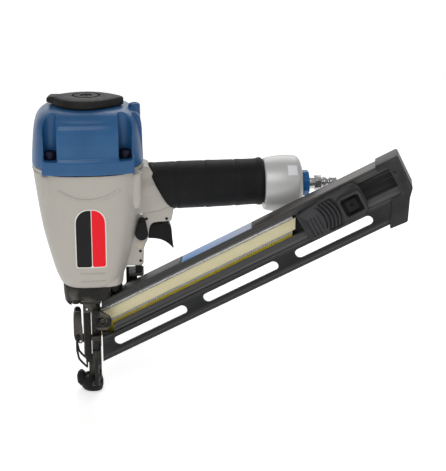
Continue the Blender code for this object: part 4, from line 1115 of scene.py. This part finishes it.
# ------------------------------------------------------------------ carried-over CAD nodes
FINISH = {
    "grip_rubber": (RUBBER, 0.35), "moulded_black": (BLACK, 0.35), "anodised_black": (RAIL, 0.3),
    "phosphated_steel": (PHOS, 0.3), "bright_steel": (STEEL, 0.2), "machined_alloy": (ALLOY, 0.3),
    "brass": (BRASS, 0.2), "enamel_blue": (BLUE, 0.3), "cast_grey": (GREY, 0.3), "bell_grey": (BELL, 0.3),
    "nail_wire": (NAIL, 0.1), "tan_paper": (PAPER, 0.1), "plug_blue": (PLUG, 0.3),
    "amber_urethane": (AMBER, 0.4),
}
DARK_NODES = {"mount_bolt", "bracket_bolt", "eye_nut", "latch_wire"}
for name, obj in nodes.items():
    if obj.hide_render:
        continue
    own = obj.data.materials[0].name.split(".")[0] if obj.data.materials else "phosphated_steel"
    mat, width = FINISH.get(own, (PHOS, 0.2))
    mat = PHOS if name in DARK_NODES else mat
    obj.data.materials.clear()
    obj.data.materials.append(mat.mat)
    clean = obj.modifiers.new("clean", "WELD")
    clean.merge_threshold = 0.000005
    mod = obj.modifiers.new("edge", "BEVEL")
    mod.width, mod.segments, mod.limit_method = width * MM, 3, "ANGLE"
    mod.angle_limit = math.radians(38)
    shade(obj, 38)

# ------------------------------------------------------------------ stage
floor_mat = Mat("studio_floor")
paper_white = [(0.3, srgb(252, 252, 252)), (0.7, srgb(255, 255, 255))]
floor_mat.colour(floor_mat.ramp(floor_mat.noise(3, 3), paper_white))
floor_mat.set(Roughness=0.6, Emission_Color=(1, 1, 1, 1), Emission_Strength=0.42)
STUDIO = (-3000, 3000)
floor = box("studio_floor", STUDIO, STUDIO, (-1, 0))
floor.data.materials.append(floor_mat.mat)
wall = box("studio_wall", STUDIO, (2900, 2901), (-1, 3000))
wall.data.materials.append(floor_mat.mat)

LENS, DISTANCE = 101.9, 1.2
ELEV, AZIM = math.radians(17.0), math.radians(6.0)
camera_data = bpy.data.cameras.new("camera")
camera_data.sensor_width, camera_data.lens = 36.0, LENS
camera_data.clip_start, camera_data.clip_end = 0.05, 50.0
camera = bpy.data.objects.new("camera", camera_data)
work.objects.link(camera)
back = Vector((-math.sin(AZIM) * math.cos(ELEV), -math.cos(AZIM) * math.cos(ELEV), math.sin(ELEV)))
target = DRIVE @ (Vector((118.9, 0, 143.4)) * MM)
camera.location = target + back * DISTANCE
camera.rotation_mode = "QUATERNION"
camera.rotation_quaternion = (-back).to_track_quat("-Z", "Y")
bpy.context.scene.camera = camera


def area(name, at, size, power, aim=(0.1, 0, 0.14)):
    data = bpy.data.lights.new(name, "AREA")
    data.shape, data.size, data.energy = "SQUARE", size, power
    lamp = bpy.data.objects.new(name, data)
    work.objects.link(lamp)
    lamp.location = DRIVE @ Vector(at)
    lamp.rotation_mode = "QUATERNION"
    lamp.rotation_quaternion = (Vector(aim) - Vector(at)).to_track_quat("-Z", "Y")


area("key_light", (-0.35, -1.1, 1.25), 0.9, 8.5)
area("fill_light", (1.2, -0.9, 0.7), 1.1, 2.5)
area("rim_light", (0.3, 0.75, 0.95), 0.8, 3.0)
world = bpy.data.worlds.new("studio")
bpy.context.scene.world = world
bpy.context.scene.view_settings.view_transform = "Standard"
world.use_nodes = True
backdrop = world.node_tree.nodes["Background"]
backdrop.inputs["Color"].default_value = (1, 1, 1, 1)
# soft fill for the object, plain white where the camera sees past the floor
rays = world.node_tree.nodes.new("ShaderNodeLightPath")
level = world.node_tree.nodes.new("ShaderNodeMapRange")
level.inputs["To Min"].default_value, level.inputs["To Max"].default_value = 0.33, 1.0
world.node_tree.links.new(rays.outputs["Is Camera Ray"], level.inputs["Value"])
world.node_tree.links.new(level.outputs["Result"], backdrop.inputs["Strength"])
